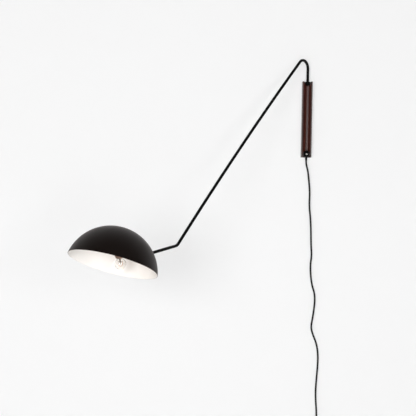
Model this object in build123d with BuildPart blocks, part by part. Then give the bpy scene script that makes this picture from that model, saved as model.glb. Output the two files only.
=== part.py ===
"""A swing-arm wall lamp: a walnut bar on the wall carries a bent tube, and the tube carries a dome shade.

Millimetres. The wall is the plane Y = 0, the room is towards -Y and +Z is up.
The origin is the middle of the bar's back face.
"""

from math import asin, atan, cos, degrees, pi, radians, sin, sqrt, tan
import os

from build123d import *

os.makedirs("parts", exist_ok=True)

# ---- wall bar ----
bar_height = 273.0
bar_width = 38.0
bar_axis_out = 21.0  # pivot axis, out from the wall
bar_back_chamfer = 1.2
bar_end_round = 1.0
bar_bore = 12.0  # drilled right through for the tube

# ---- notches in the bar's ends ----
top_notch_depth = 17.0
top_notch_width = 26.0
bottom_notch_depth = 25.0
bottom_notch_width = 28.0
notch_behind_axis = 12.5  # the notches stop this far behind the pivot axis

# ---- bushes and washers ----
bush_outer = 13.0
bush_length = 20.0
flange_width = 17.0
flange_thickness = 2.5
thrust_washer_thickness = 1.0
lower_washer_thickness = 0.8
washer_width = 16.0

# ---- tube ----
tube_width = 10.0
tube_wall = 1.0
swing_angle = 48.5  # arm's plane, out from the wall
post_above_bar = 45.8  # from the bar's top to the upper bend
tube_into_grip = 14.4
upper_bend_radius = 28.0
run_angle = 45.9  # the long run's start, from upright
run_length = 896.0
run_bow_angle = 3.9  # the shade's weight bows the long run by this turn
elbow_radius = 25.0
elbow_turn = 36.9
end_length = 158.0  # from the elbow to the shade's skin

# ---- collar and grip on the tube ----
collar_top_width = 18.0
collar_bottom_width = 14.0
collar_height = 15.0
collar_flare_height = 12.0
collar_chamfer = 1.0
collar_screw_up = 9.0
collar_screw_width = 3.0
collar_screw_socket_depth = 1.0
grip_width = 18.0
grip_length = 21.0
grip_round = 1.2
grip_screw_below_top = 11.9
grip_screw_head = 7.0
grip_screw_head_height = 2.0
grip_screw_head_round = 0.7
grip_screw_slot_width = 0.9
grip_screw_slot_depth = 0.8
grip_screw_shank = 4.0
grip_screw_side = 12.0  # degrees round from straight ahead, to the right
end_play = 0.3  # up and down, between the lower washer and the grip
relief_width = 9.0
relief_tip_width = 7.6
relief_length = 20.0

# ---- cord ----
cord_width = 6.5
lead_width = 6.2  # the same cord where it runs inside the tube

# ---- shade ----
shade_width = 287.0
shade_depth = 119.5
shade_wall = 1.2
shade_tilt = 19.5  # opening, out from straight down
shade_hole = 10.8

# ---- fittings at the shade ----
saddle_width = 16.0
outer_saddle_depth = 6.0
inner_saddle_depth = 6.0
stop_ring_width = 15.0
stop_ring_depth = 5.0
stop_ring_chamfer = 0.8
lock_washer_width = 15.0
lock_washer_thickness = 1.2
lock_nut_flats = 14.0
lock_nut_thickness = 4.0
coupling_width = 14.0
coupling_length = 16.0
coupling_chamfer = 0.8

# ---- swan neck from the tube's end up and over to the lamp holder ----
neck_lead = 2.9  # straight, before the lower bend
neck_lower_radius = 15.0
neck_rise_angle = 70.0
neck_rise = 60.7  # straight, between the bends
neck_upper_radius = 16.0
neck_drop = 1.0  # straight, down to the holder
neck_into_holder = 10.0

# ---- lamp holder and bulb ----
holder_neck_width = 16.0
holder_neck_length = 12.0
holder_shoulder_length = 6.0
holder_width = 26.0
holder_length = 46.0
holder_ring_width = 30.0
holder_ring_depth = 9.0
holder_ring_from_mouth = 6.0
holder_socket_depth = 27.0
contact_width = 11.5
contact_thickness = 0.6
bulb_cap_width = 13.8
bulb_cap_length = 19.0
bulb_cap_in_mouth = 0.5
bulb_cap_taper = 2.0
bulb_button_width = 5.0
bulb_button_height = 2.0
bulb_neck_width = 15.0
bulb_globe_width = 36.0
bulb_globe_from_cap = 18.5  # globe's centre, out from the cap's edge
bulb_glass_wall = 0.8
filament_wire = 1.4
filament_loop_width = 13.0
filament_foot = 11.5  # the loop's crossbar, out from the cap's edge
filament_rise = 8.0  # the loop's straight sides
stem_width = 4.0
stem_flare_width = 11.0
stem_flare_length = 6.0
stem_past_centre = 1.0  # the stem's tip, beyond the globe's centre

# ---- hanger plates on the bar's back ----
plate_height = 46.0
plate_width = 22.0
plate_thickness = 2.0
plate_corner = 3.0
plate_spacing = 180.0
keyhole_entry = 9.0
keyhole_slot = 4.5
keyhole_rise = 10.0
head_pocket_depth = 7.0
head_pocket_room = 1.5  # round the keyhole, behind the plate
plate_screw_spacing = 34.0
plate_screw_head = 6.0
plate_screw_shank = 3.0
plate_screw_length = 9.0

# ---- coil of cord put away below the switch ----
coil_radius = 46.0  # outer turn, to the cord's middle
coil_pitch = 7.1  # from turn to turn
coil_layer_gap = 7.1  # from layer to layer
coil_halves = 5  # half turns inwards, and as many outwards
coil_below_switch = 45.0  # the coil's middle, below the switch
coil_tail = 16.0
tie_width = 12.0
tie_wall = 1.2
tie_slack = 0.25
tie_corner = 2.0

# ---- switch in the cord ----
switch_length = 62.0
switch_width = 24.0
switch_depth = 17.0
switch_corner = 9.0
switch_wall = 1.6
switch_edge_round = 2.5
switch_cavity_corner = 7.4
cord_into_switch = 8.0
rocker_reach = 9.9  # the rocker's round ends, out from its pivot
rocker_width = 10.0
rocker_tip = 7.0  # degrees to each side of level
rocker_proud = 1.4  # the rocker's middle, out from the switch's face
rocker_depth = 4.6  # pivot, below the switch's face
rocker_stub_width = 2.4
rocker_stub_length = 1.5
rocker_gap = 0.5  # between the rocker and its window
rocker_ear_length = 6.0
switch_screw_head = 4.6
switch_screw_shank = 2.0
switch_screw_recess = 1.6
switch_boss_width = 5.4
switch_boss_out = 6.4
switch_boss_up = 19.0
terminal_width = 6.0
terminal_height = 5.0
terminal_up = 14.0

# ---- plug ----
plug_width = 26.0
plug_thickness = 16.0
plug_length = 34.0
plug_neck_width = 15.0
plug_neck_thickness = 12.0
plug_swell = 13.0  # from the neck to the full width
plug_corner = 4.5
plug_face_round = 1.5
plug_relief_length = 22.0
plug_relief_width = 11.0
plug_relief_tip_width = 8.4
plug_relief_rings = 4
blade_width = 6.35
blade_thickness = 1.5
blade_length = 17.0
blade_spacing = 12.7
blade_root = 8.0
blade_hole = 3.2
blade_hole_from_tip = 4.0

# ---- clearances ----
running_gap = 0.05  # a turning fit, on the radius
seat_gap = 0.3  # between a curved seat and what lies on it
press_gap = 0.02
pocket_gap = 0.2
fitting_gap = 1.0  # round what is put in from a notch

# ---- frames worked out from the sizes ----
axis_y = -bar_axis_out
bar_top = bar_height / 2
bar_bottom = -bar_height / 2
tube_radius = tube_width / 2
outwards = (-cos(radians(swing_angle)), -sin(radians(swing_angle)), 0)
arm_plane = Plane(
    origin=(0, axis_y, 0),
    x_dir=outwards,
    z_dir=(-sin(radians(swing_angle)), cos(radians(swing_angle)), 0),
)


def on_axis(height):
    """The level plane at a height, centred on the pivot axis."""
    return Plane(origin=(0, axis_y, height), x_dir=(1, 0, 0), z_dir=(0, 0, 1))


def write(part, name):
    part.label = name
    export_step(part, f"parts/{name}.step")


# ======== stack of heights along the pivot axis ========
top_seat = bar_top - top_notch_depth - flange_thickness  # counterbore floor
top_flange_top = top_seat + flange_thickness
collar_foot = top_flange_top + thrust_washer_thickness
bottom_seat = bar_bottom + bottom_notch_depth + flange_thickness
bottom_flange_foot = bottom_seat - flange_thickness
lower_washer_foot = bottom_flange_foot - lower_washer_thickness
grip_top = lower_washer_foot - end_play
grip_foot = grip_top - grip_length
grip_screw_height = grip_top - grip_screw_below_top
post_top = bar_top + post_above_bar
post_bottom = grip_top - tube_into_grip
relief_top = post_bottom
relief_foot = relief_top - relief_length

# ======== walnut bar ========
plate_centres = (plate_spacing / 2, -plate_spacing / 2)
half_bar = bar_width / 2
head_pocket_width = keyhole_entry + 2 * head_pocket_room

with BuildPart() as walnut_bar:
    with BuildSketch(Plane.XY.offset(bar_bottom)) as bar_section:
        with BuildLine():
            front = ThreePointArc((-half_bar, axis_y), (0, axis_y - half_bar), (half_bar, axis_y))
            Polyline(
                front @ 1,
                (half_bar, -bar_back_chamfer),
                (half_bar - bar_back_chamfer, 0),
                (bar_back_chamfer - half_bar, 0),
                (-half_bar, -bar_back_chamfer),
                front @ 0,
            )
        make_face()
    extrude(amount=bar_height)
    ends = walnut_bar.faces().sort_by(Axis.Z)
    fillet((ends[0].edges() + ends[-1].edges()).filter_by(GeomType.CIRCLE), bar_end_round)
    # arch notches, open to the front
    with BuildSketch(Plane.XZ.offset(bar_axis_out - notch_behind_axis)) as notch_outlines:
        for tip, depth, width, up in (
            (bar_top, top_notch_depth, top_notch_width, 1),
            (bar_bottom, bottom_notch_depth, bottom_notch_width, -1),
        ):
            arch_centre = tip - up * (depth - width / 2)
            with Locations((0, arch_centre)):
                Circle(width / 2)
            with Locations((0, arch_centre + up * depth)):
                Rectangle(width, 2 * depth)
    extrude(amount=bar_width, mode=Mode.SUBTRACT)
    # bore, bush seats and flange counterbores
    with BuildSketch(on_axis(bar_bottom)):
        Circle(bar_bore / 2)
    extrude(amount=bar_height, mode=Mode.SUBTRACT)
    for seat, inwards, room in (
        (top_seat, -1, flange_width / 2 + seat_gap),
        (bottom_seat, 1, max(flange_width, grip_width) / 2 + fitting_gap),
    ):
        with BuildSketch(on_axis(seat)):
            Circle(bush_outer / 2 + press_gap)
        extrude(amount=inwards * (bush_length + seat_gap), mode=Mode.SUBTRACT)
        with BuildSketch(on_axis(seat)):
            Circle(room)
        extrude(amount=-inwards * (flange_thickness + half_bar), mode=Mode.SUBTRACT)
    # recesses for the hanger plates, and room behind them for screw heads
    for height in plate_centres:
        with BuildSketch(Plane(origin=(0, 0, height), x_dir=(1, 0, 0), z_dir=(0, -1, 0))):
            RectangleRounded(plate_width + 2 * pocket_gap, plate_height + 2 * pocket_gap, plate_corner)
        extrude(amount=plate_thickness, mode=Mode.SUBTRACT)
        with BuildSketch(Plane(origin=(0, -plate_thickness, height), x_dir=(1, 0, 0), z_dir=(0, -1, 0))):
            with Locations((0, keyhole_rise / 2)):
                SlotOverall(head_pocket_width + keyhole_rise, head_pocket_width, rotation=90)
        extrude(amount=head_pocket_depth, mode=Mode.SUBTRACT)
        with BuildSketch(Plane(origin=(0, -plate_thickness, height), x_dir=(1, 0, 0), z_dir=(0, -1, 0))):
            with Locations((0, plate_screw_spacing / 2), (0, -plate_screw_spacing / 2)):
                Circle(plate_screw_shank / 2 + press_gap)
        extrude(amount=plate_screw_length, mode=Mode.SUBTRACT)
write(walnut_bar.part, "walnut_bar")

# ======== hanger plates and their screws ========
with BuildPart() as hanger_plates:
    for height in plate_centres:
        back = Plane(origin=(0, 0, height), x_dir=(1, 0, 0), z_dir=(0, -1, 0))
        with BuildSketch(back):
            RectangleRounded(plate_width, plate_height, plate_corner)
            Circle(keyhole_entry / 2, mode=Mode.SUBTRACT)
            with Locations((0, keyhole_rise / 2)):
                SlotOverall(keyhole_rise + keyhole_slot, keyhole_slot, rotation=90, mode=Mode.SUBTRACT)
        extrude(amount=plate_thickness)
        with Locations(back):
            with Locations((0, plate_screw_spacing / 2), (0, -plate_screw_spacing / 2)):
                Cone(
                    bottom_radius=plate_screw_head / 2 + pocket_gap,
                    top_radius=plate_screw_shank / 2 + pocket_gap,
                    height=plate_thickness,
                    align=(Align.CENTER, Align.CENTER, Align.MIN),
                    mode=Mode.SUBTRACT,
                )
write(hanger_plates.part, "hanger_plates")

with BuildPart() as hanger_screws:
    for height in plate_centres:
        back = Plane(origin=(0, 0, height), x_dir=(1, 0, 0), z_dir=(0, -1, 0))
        with Locations(back):
            with Locations((0, plate_screw_spacing / 2), (0, -plate_screw_spacing / 2)):
                Cone(
                    bottom_radius=plate_screw_head / 2,
                    top_radius=plate_screw_shank / 2,
                    height=plate_thickness,
                    align=(Align.CENTER, Align.CENTER, Align.MIN),
                )
                Cylinder(
                    plate_screw_shank / 2,
                    plate_screw_length,
                    align=(Align.CENTER, Align.CENTER, Align.MIN),
                )
write(hanger_screws.part, "hanger_screws")

# ======== bushes and washers on the pivot axis ========


def bush(seat, inwards):
    """A flanged bush: its flange lies on the seat, its barrel goes into the bar."""
    with BuildPart() as made:
        with BuildSketch(on_axis(seat)):
            Circle(bush_outer / 2)
            Circle(tube_radius + running_gap, mode=Mode.SUBTRACT)
        extrude(amount=inwards * bush_length)
        with BuildSketch(on_axis(seat)):
            Circle(flange_width / 2)
            Circle(tube_radius + running_gap, mode=Mode.SUBTRACT)
        extrude(amount=-inwards * flange_thickness)
    return made.part


def washer(foot, thickness):
    with BuildPart() as made:
        with BuildSketch(on_axis(foot)):
            Circle(washer_width / 2)
            Circle(tube_radius + running_gap, mode=Mode.SUBTRACT)
        extrude(amount=thickness)
    return made.part


write(bush(top_seat, -1), "top_bush")
write(bush(bottom_seat, 1), "bottom_bush")
write(washer(top_flange_top, thrust_washer_thickness), "thrust_washer")
write(washer(lower_washer_foot, lower_washer_thickness), "lower_washer")

# ======== centre line of the tube ========
run_bow_radius = run_length / radians(run_bow_angle)
with BuildLine(arm_plane) as tube_line:
    post = Line((0, post_bottom), (0, post_top))
    upper_bend = JernArc(post @ 1, post % 1, upper_bend_radius, run_angle - 180)
    long_run = JernArc(upper_bend @ 1, upper_bend % 1, run_bow_radius, -run_bow_angle)
    elbow = JernArc(long_run @ 1, long_run % 1, elbow_radius, elbow_turn)
    end_piece = Line(elbow @ 1, elbow @ 1 + (elbow % 1) * end_length)
shade_entry = end_piece @ 1
end_direction = end_piece % 1
end_drop = -degrees(asin(end_direction.Z))


def on_end(distance):
    """The plane square to the end piece, at a distance beyond the shade's skin."""
    return Plane(
        origin=shade_entry + end_direction * distance,
        x_dir=arm_plane.z_dir,
        z_dir=end_direction,
    )


# ======== shade frame: the end piece aims at the rim's centre ========
rim_radius = shade_width / 2
dome_radius = (rim_radius**2 + shade_depth**2) / (2 * shade_depth)
dome_drop = dome_radius - shade_depth  # dome's centre, below the rim plane
aim_angle = radians(90 - shade_tilt - end_drop)  # between the end piece and the shade's axis
aim_length = sqrt(dome_radius**2 - (dome_drop * sin(aim_angle)) ** 2) - dome_drop * cos(aim_angle)
opening = Vector(*outwards) * sin(radians(shade_tilt)) - Vector(0, 0, cos(radians(shade_tilt)))
rim_centre = shade_entry + end_direction * aim_length
dome_centre = rim_centre + opening * dome_drop
shade_plane = Plane(
    origin=rim_centre,
    x_dir=Vector(*outwards) * cos(radians(shade_tilt)) + Vector(0, 0, sin(radians(shade_tilt))),
    z_dir=arm_plane.z_dir,
)

# stations along the end piece, from the shade's skin
skin_slope = asin(dome_drop * sin(aim_angle) / dome_radius)
outer_saddle_face = -outer_saddle_depth
stop_ring_back = outer_saddle_face - stop_ring_depth
inner_saddle_face = shade_wall / cos(skin_slope) + inner_saddle_depth
washer_face = inner_saddle_face + lock_washer_thickness
nut_face = washer_face + lock_nut_thickness
tube_end = nut_face + coupling_length / 2
coupling_face = nut_face + coupling_length


def end_profile(distance):
    """The plane through the end piece's axis: X runs out along the axis, Y up from it."""
    return Plane(
        origin=shade_entry + end_direction * distance,
        x_dir=end_direction,
        z_dir=arm_plane.z_dir,
    )


# ======== centre line of the swan neck ========
with BuildLine(end_profile(0)) as neck_line:
    neck_foot = Line((tube_end, 0), (coupling_face + neck_lead, 0))
    neck_lower_bend = JernArc(neck_foot @ 1, neck_foot % 1, neck_lower_radius, neck_rise_angle)
    neck_leg = Line(neck_lower_bend @ 1, neck_lower_bend @ 1 + (neck_lower_bend % 1) * neck_rise)
    neck_upper_bend = JernArc(neck_leg @ 1, neck_leg % 1, neck_upper_radius, -90 - neck_rise_angle)
    neck_end = Line(
        neck_upper_bend @ 1,
        neck_upper_bend @ 1 + (neck_upper_bend % 1) * (neck_drop + neck_into_holder),
    )
holder_way = neck_end % 1
holder_top = neck_end @ 0 + holder_way * neck_drop


def on_holder(distance):
    """The plane square to the lamp holder, at a distance from its top."""
    return Plane(origin=holder_top + holder_way * distance, x_dir=arm_plane.z_dir, z_dir=holder_way)


def holder_profile(distance):
    """The plane through the lamp holder's axis: X runs down the axis, Y away from it."""
    return Plane(origin=holder_top + holder_way * distance, x_dir=holder_way, z_dir=arm_plane.z_dir)

# ======== arm tube ========
with BuildPart() as arm_tube:
    with BuildLine(arm_plane) as whole_line:
        add(tube_line.line)
        Line(shade_entry, shade_entry + end_direction * tube_end)
    with BuildSketch(on_axis(post_bottom)):
        Circle(tube_radius)
        Circle(tube_radius - tube_wall, mode=Mode.SUBTRACT)
    sweep(path=whole_line.wires()[0])
write(arm_tube.part, "arm_tube")

# ======== lead inside the tube ========
with BuildPart() as lead_in_tube:
    with BuildLine(arm_plane) as lead_line:
        Line((0, relief_foot), (0, post_bottom))
        add(tube_line.line)
        Line(shade_entry, shade_entry + end_direction * tube_end)
        add(neck_line.line)
    with BuildSketch(on_axis(relief_foot)):
        Circle(lead_width / 2)
    sweep(path=lead_line.wires()[0])
write(lead_in_tube.part, "lead_in_tube")

# ======== collar that carries the arm in the top notch ========
collar_screw_plane = Plane(
    origin=(0, axis_y, collar_foot + collar_screw_up), x_dir=(0, 1, 0), z_dir=(1, 0, 0)
)
with BuildPart() as top_collar:
    with BuildSketch(Plane(origin=(0, axis_y, collar_foot), x_dir=(1, 0, 0), z_dir=(0, -1, 0))):
        with BuildLine():
            Polyline(
                (tube_radius + press_gap, 0),
                (collar_bottom_width / 2, 0),
                (collar_top_width / 2, collar_flare_height),
                (collar_top_width / 2, collar_height),
                (tube_radius + press_gap, collar_height),
                close=True,
            )
        make_face()
    revolve(axis=Axis((0, axis_y, 0), (0, 0, 1)))
    with BuildSketch(collar_screw_plane):
        Circle(collar_screw_width / 2 + press_gap)
    extrude(amount=collar_top_width, mode=Mode.SUBTRACT)
    collar_top_edges = top_collar.edges().filter_by(GeomType.CIRCLE).group_by(Axis.Z)[-1]
    chamfer(collar_top_edges.sort_by(SortBy.RADIUS)[-1], collar_chamfer)
write(top_collar.part, "top_collar")

with BuildPart() as collar_screw:
    with BuildSketch(collar_screw_plane.offset(tube_radius + running_gap)):
        Circle(collar_screw_width / 2)
    extrude(amount=collar_bottom_width / 2 - tube_radius)
    with BuildSketch(collar_screw_plane.offset(collar_bottom_width / 2 + running_gap)):
        RegularPolygon(collar_screw_width / 4, 6)
    extrude(amount=-collar_screw_socket_depth, mode=Mode.SUBTRACT)
write(collar_screw.part, "collar_screw")

# ======== cord grip in the bottom notch ========
grip_radius = grip_width / 2
spot_face = sqrt(grip_radius**2 - (grip_screw_head / 2) ** 2) - press_gap
screw_side = radians(grip_screw_side)
grip_screw_plane = Plane(
    origin=(0, axis_y, grip_screw_height),
    x_dir=(cos(screw_side), sin(screw_side), 0),
    z_dir=(sin(screw_side), -cos(screw_side), 0),
)
with BuildPart() as cord_grip:
    with BuildSketch(on_axis(grip_foot)):
        Circle(grip_radius)
    extrude(amount=grip_length)
    fillet(cord_grip.edges().filter_by(GeomType.CIRCLE), grip_round)
    with BuildSketch(on_axis(post_bottom)):
        Circle(tube_radius + press_gap)
    extrude(amount=grip_top - post_bottom, mode=Mode.SUBTRACT)
    with BuildSketch(on_axis(grip_foot)):
        Circle(relief_width / 2 + press_gap)
    extrude(amount=grip_length, mode=Mode.SUBTRACT)
    with BuildSketch(grip_screw_plane.offset(spot_face)):
        Circle(grip_screw_head / 2 + pocket_gap)
    extrude(amount=grip_radius, mode=Mode.SUBTRACT)
    with BuildSketch(grip_screw_plane.offset(tube_radius)):
        Circle(grip_screw_shank / 2 + press_gap)
    extrude(amount=grip_radius, mode=Mode.SUBTRACT)
write(cord_grip.part, "cord_grip")

with BuildPart() as grip_screw:
    with BuildSketch(grip_screw_plane.offset(tube_radius + running_gap)):
        Circle(grip_screw_shank / 2)
    extrude(amount=spot_face - tube_radius)
    with BuildSketch(grip_screw_plane.offset(spot_face)):
        Circle(grip_screw_head / 2)
    extrude(amount=grip_screw_head_height)
    fillet(grip_screw.faces().sort_by(Axis.Y)[0].edges(), grip_screw_head_round)
    with BuildSketch(grip_screw_plane.offset(spot_face + grip_screw_head_height)):
        Rectangle(grip_screw_head, grip_screw_slot_width)
    extrude(amount=-grip_screw_slot_depth, mode=Mode.SUBTRACT)
write(grip_screw.part, "grip_screw")

# ======== tapered relief where the cord leaves ========
with BuildPart() as cord_relief:
    with BuildSketch(Plane(origin=(0, axis_y, 0), x_dir=(1, 0, 0), z_dir=(0, -1, 0))):
        with BuildLine():
            Polyline(
                (lead_width / 2 + running_gap, relief_top),
                (relief_width / 2, relief_top),
                (relief_width / 2, grip_foot),
                (relief_tip_width / 2, relief_foot),
                (lead_width / 2 + running_gap, relief_foot),
                close=True,
            )
        make_face()
    revolve(axis=Axis((0, axis_y, 0), (0, 0, 1)))
write(cord_relief.part, "cord_relief")

# ======== shade ========
with BuildPart() as shade_shell:
    inner_radius = dome_radius - shade_wall
    inner_rim = sqrt(inner_radius**2 - dome_drop**2)
    inner_depth = inner_radius - dome_drop
    skin_half = atan(dome_drop / rim_radius) + (pi / 2 - atan(dome_drop / rim_radius)) / 2
    with BuildSketch(shade_plane):
        with BuildLine():
            skin = ThreePointArc(
                (rim_radius, 0),
                (dome_radius * cos(skin_half), dome_radius * sin(skin_half) - dome_drop),
                (0, shade_depth),
            )
            crown = Line((0, shade_depth), (0, inner_depth))
            lining = ThreePointArc(
                (0, inner_depth),
                (inner_radius * cos(skin_half), inner_radius * sin(skin_half) - dome_drop),
                (inner_rim, 0),
            )
            edge = Line((inner_rim, 0), (rim_radius, 0))
        make_face()
    revolve(axis=Axis(rim_centre, opening))
    with BuildSketch(on_end(-outer_saddle_depth)):
        Circle(shade_hole / 2)
    extrude(amount=outer_saddle_depth + inner_saddle_face, mode=Mode.SUBTRACT)
write(shade_shell.part, "shade_shell")


def saddle(start, length, skin_radius, inside):
    """A washer with one flat face and one face shaped to the dome."""
    with BuildPart() as made:
        with BuildSketch(on_end(start)):
            Circle(saddle_width / 2)
            Circle(tube_radius + running_gap, mode=Mode.SUBTRACT)
        extrude(amount=length)
        with Locations(Location(dome_centre)):
            Sphere(skin_radius, mode=Mode.INTERSECT if inside else Mode.SUBTRACT)
    return made.part


saddle_reach = saddle_width / 2 * tan(skin_slope) + seat_gap
write(
    saddle(outer_saddle_face, outer_saddle_depth + 2 * saddle_reach, dome_radius + seat_gap, False),
    "outer_saddle",
)
write(
    saddle(-saddle_reach, inner_saddle_face + saddle_reach, inner_radius - seat_gap, True),
    "inner_saddle",
)


def end_disc(start, length, outer, inner):
    with BuildPart() as made:
        with BuildSketch(on_end(start)):
            Circle(outer)
            Circle(inner, mode=Mode.SUBTRACT)
        extrude(amount=length)
    return made.part


with BuildPart() as stop_ring:
    with BuildSketch(on_end(stop_ring_back)):
        Circle(stop_ring_width / 2)
        Circle(tube_radius + press_gap, mode=Mode.SUBTRACT)
    extrude(amount=stop_ring_depth)
    ring_back_edges = stop_ring.faces().sort_by(Axis(shade_entry, end_direction))[0].edges()
    chamfer(ring_back_edges.sort_by(SortBy.RADIUS)[-1], stop_ring_chamfer)
write(stop_ring.part, "stop_ring")

write(
    end_disc(inner_saddle_face, lock_washer_thickness, lock_washer_width / 2, tube_radius + press_gap),
    "lock_washer",
)

with BuildPart() as lock_nut:
    with BuildSketch(on_end(washer_face)):
        RegularPolygon(lock_nut_flats / 2, 6, major_radius=False)
        Circle(tube_radius + press_gap, mode=Mode.SUBTRACT)
    extrude(amount=lock_nut_thickness)
write(lock_nut.part, "lock_nut")

# ======== coupling and swan neck ========
with BuildPart() as neck_coupling:
    with BuildSketch(on_end(nut_face)):
        Circle(coupling_width / 2)
        Circle(tube_radius + press_gap, mode=Mode.SUBTRACT)
    extrude(amount=coupling_length)
    for face in neck_coupling.faces().filter_by(GeomType.PLANE):
        chamfer(face.edges().sort_by(SortBy.RADIUS)[-1], coupling_chamfer)
write(neck_coupling.part, "neck_coupling")

with BuildPart() as holder_neck:
    with BuildSketch(on_end(tube_end)):
        Circle(tube_radius)
        Circle(tube_radius - tube_wall, mode=Mode.SUBTRACT)
    sweep(path=neck_line.wires()[0])
write(holder_neck.part, "holder_neck")

# ======== lamp holder ========
holder_axis = Axis(holder_top, holder_way)
socket_radius = bulb_cap_width / 2 + seat_gap
socket_floor = holder_length - holder_socket_depth
with BuildPart() as lamp_holder:
    with BuildSketch(holder_profile(0)):
        with BuildLine():
            Polyline(
                (0, tube_radius + press_gap),
                (0, holder_neck_width / 2),
                (holder_neck_length, holder_neck_width / 2),
                (holder_neck_length + holder_shoulder_length, holder_width / 2),
                (holder_length, holder_width / 2),
                (holder_length, socket_radius),
                (socket_floor, socket_radius),
                (socket_floor, 0),
                (neck_into_holder, 0),
                (neck_into_holder, tube_radius + press_gap),
                close=True,
            )
        make_face()
    revolve(axis=holder_axis)
write(lamp_holder.part, "lamp_holder")

with BuildPart() as holder_ring:
    with BuildSketch(on_holder(holder_length - holder_ring_from_mouth)):
        Circle(holder_ring_width / 2)
        Circle(holder_width / 2 + press_gap, mode=Mode.SUBTRACT)
    extrude(amount=-holder_ring_depth)
write(holder_ring.part, "holder_ring")

# ======== bulb ========
cap_edge = holder_length + bulb_cap_in_mouth
button_end = cap_edge - bulb_cap_length - bulb_button_height
with BuildPart() as bulb_cap:
    with BuildSketch(holder_profile(button_end)):
        with BuildLine():
            Polyline(
                (0, 0),
                (0, bulb_button_width / 2),
                (bulb_button_height, bulb_cap_width / 2 - bulb_cap_taper),
                (bulb_button_height + bulb_cap_taper, bulb_cap_width / 2),
                (bulb_button_height + bulb_cap_length, bulb_cap_width / 2),
                (bulb_button_height + bulb_cap_length, 0),
                close=True,
            )
        make_face()
    revolve(axis=holder_axis)
write(bulb_cap.part, "bulb_cap")

contact_rise = button_end - socket_floor
with BuildPart() as holder_contact:
    with BuildSketch(on_holder(socket_floor)):
        Rectangle(bulb_button_width, contact_width)
    extrude(amount=contact_thickness)
    with BuildSketch(on_holder(socket_floor)):
        Circle(bulb_button_width / 4)
    extrude(amount=contact_rise)
write(holder_contact.part, "holder_contact")

globe_radius = bulb_globe_width / 2
neck_radius = bulb_neck_width / 2
globe_start = bulb_globe_from_cap - sqrt(globe_radius**2 - neck_radius**2)
inner_globe = globe_radius - bulb_glass_wall
inner_neck = neck_radius - bulb_glass_wall
inner_start = bulb_globe_from_cap - sqrt(inner_globe**2 - inner_neck**2)
with BuildPart() as bulb_glass:
    with BuildSketch(holder_profile(cap_edge)):
        with BuildLine():
            Line((0, inner_neck), (0, neck_radius))
            Line((0, neck_radius), (globe_start, neck_radius))
            ThreePointArc(
                (globe_start, neck_radius),
                (bulb_globe_from_cap, globe_radius),
                (bulb_globe_from_cap + globe_radius, 0),
            )
            Line((bulb_globe_from_cap + globe_radius, 0), (bulb_globe_from_cap + inner_globe, 0))
            ThreePointArc(
                (bulb_globe_from_cap + inner_globe, 0),
                (bulb_globe_from_cap, inner_globe),
                (inner_start, inner_neck),
            )
            Line((inner_start, inner_neck), (0, inner_neck))
        make_face()
    revolve(axis=holder_axis)
write(bulb_glass.part, "bulb_glass")

loop_radius = filament_loop_width / 2
stem_tip = bulb_globe_from_cap + stem_past_centre
loop_way = Vector(0, -1, 0).cross(holder_way).normalized()  # the loop faces the room
loop_foot = holder_top + holder_way * (cap_edge + filament_foot)
loop_plane = Plane(origin=loop_foot, x_dir=holder_way, z_dir=holder_way.cross(loop_way))
with BuildPart() as bulb_filament:
    with BuildSketch(holder_profile(cap_edge)):
        Polygon(
            (0, 0),
            (0, stem_flare_width / 2),
            (stem_flare_length, stem_width / 2),
            (stem_tip, stem_width / 2),
            (stem_tip, 0),
            align=None,
        )
    revolve(axis=holder_axis)
    with BuildLine(loop_plane) as hairpin:
        rise = Line((0, -loop_radius), (filament_rise, -loop_radius))
        bow = ThreePointArc(
            (filament_rise, -loop_radius),
            (filament_rise + loop_radius, 0),
            (filament_rise, loop_radius),
        )
        fall = Line((filament_rise, loop_radius), (0, loop_radius))
    with BuildSketch(Plane(origin=hairpin.line @ 0, z_dir=holder_way)):
        Circle(filament_wire / 2)
    sweep(path=hairpin.wires()[0])
    with BuildSketch(Plane(origin=loop_foot, x_dir=loop_way, z_dir=holder_way).offset(-filament_wire / 2)):
        Rectangle(filament_loop_width + filament_wire, filament_wire)
    extrude(amount=filament_wire)
write(bulb_filament.part, "bulb_filament")

# ======== cord that hangs down the wall ========
switch_top = -1082.0
switch_x = 56.0
switch_y = -10.0
cord_route = [
    (0, axis_y, relief_foot),
    (0, axis_y, relief_foot - 2 * cord_width),
    (7.4, -20.5, -185),
    (12.2, -20, -224),
    (16, -19, -265),
    (14.4, -18, -310),
    (20.2, -17, -355),
    (22.8, -16, -403),
    (24, -15, -450),
    (27.5, -14.2, -490),
    (23, -13.6, -522),
    (25.3, -13, -565),
    (30.8, -12.6, -598),
    (41.4, -12.2, -628),
    (41.6, -12, -665),
    (36, -11.8, -710),
    (29.2, -11.5, -748),
    (37.6, -11.2, -776),
    (50.6, -11, -806),
    (56.9, -10.8, -840),
    (57.2, -10.6, -882),
    (53.6, -10.4, -930),
    (50.8, -10.2, -978),
    (52.8, -10.1, -1022),
    (switch_x, switch_y, -1054),
    (switch_x, switch_y, switch_top - cord_into_switch),
]


def corner_radii(route, share=0.45):
    """An arc for each corner, as large as its two runs allow."""
    radii = []
    for before, here, after in zip(route, route[1:], route[2:]):
        run_in = Vector(*here) - Vector(*before)
        run_out = Vector(*after) - Vector(*here)
        half_turn = radians(run_in.get_angle(run_out)) / 2
        radii.append(share * min(run_in.length, run_out.length) / tan(half_turn))
    return radii


cord_radii = corner_radii(cord_route)
print("cord bend radii, mm:", [round(radius) for radius in cord_radii])
with BuildPart() as cord_hanging:
    with BuildLine() as cord_line:
        FilletPolyline(*cord_route, radius=cord_radii)
    with BuildSketch(Plane(origin=cord_route[0], z_dir=(0, 0, -1))):
        Circle(cord_width / 2)
    sweep(path=cord_line.wires()[0])


def report_tube(name, part, wire):
    """Print a tube's volume beside its section times its length."""
    section = pi * (cord_width / 2) ** 2
    print(f"{name}: length {wire.length:.1f}, volume {part.volume:.0f}, plain {section * wire.length:.0f}")


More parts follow.
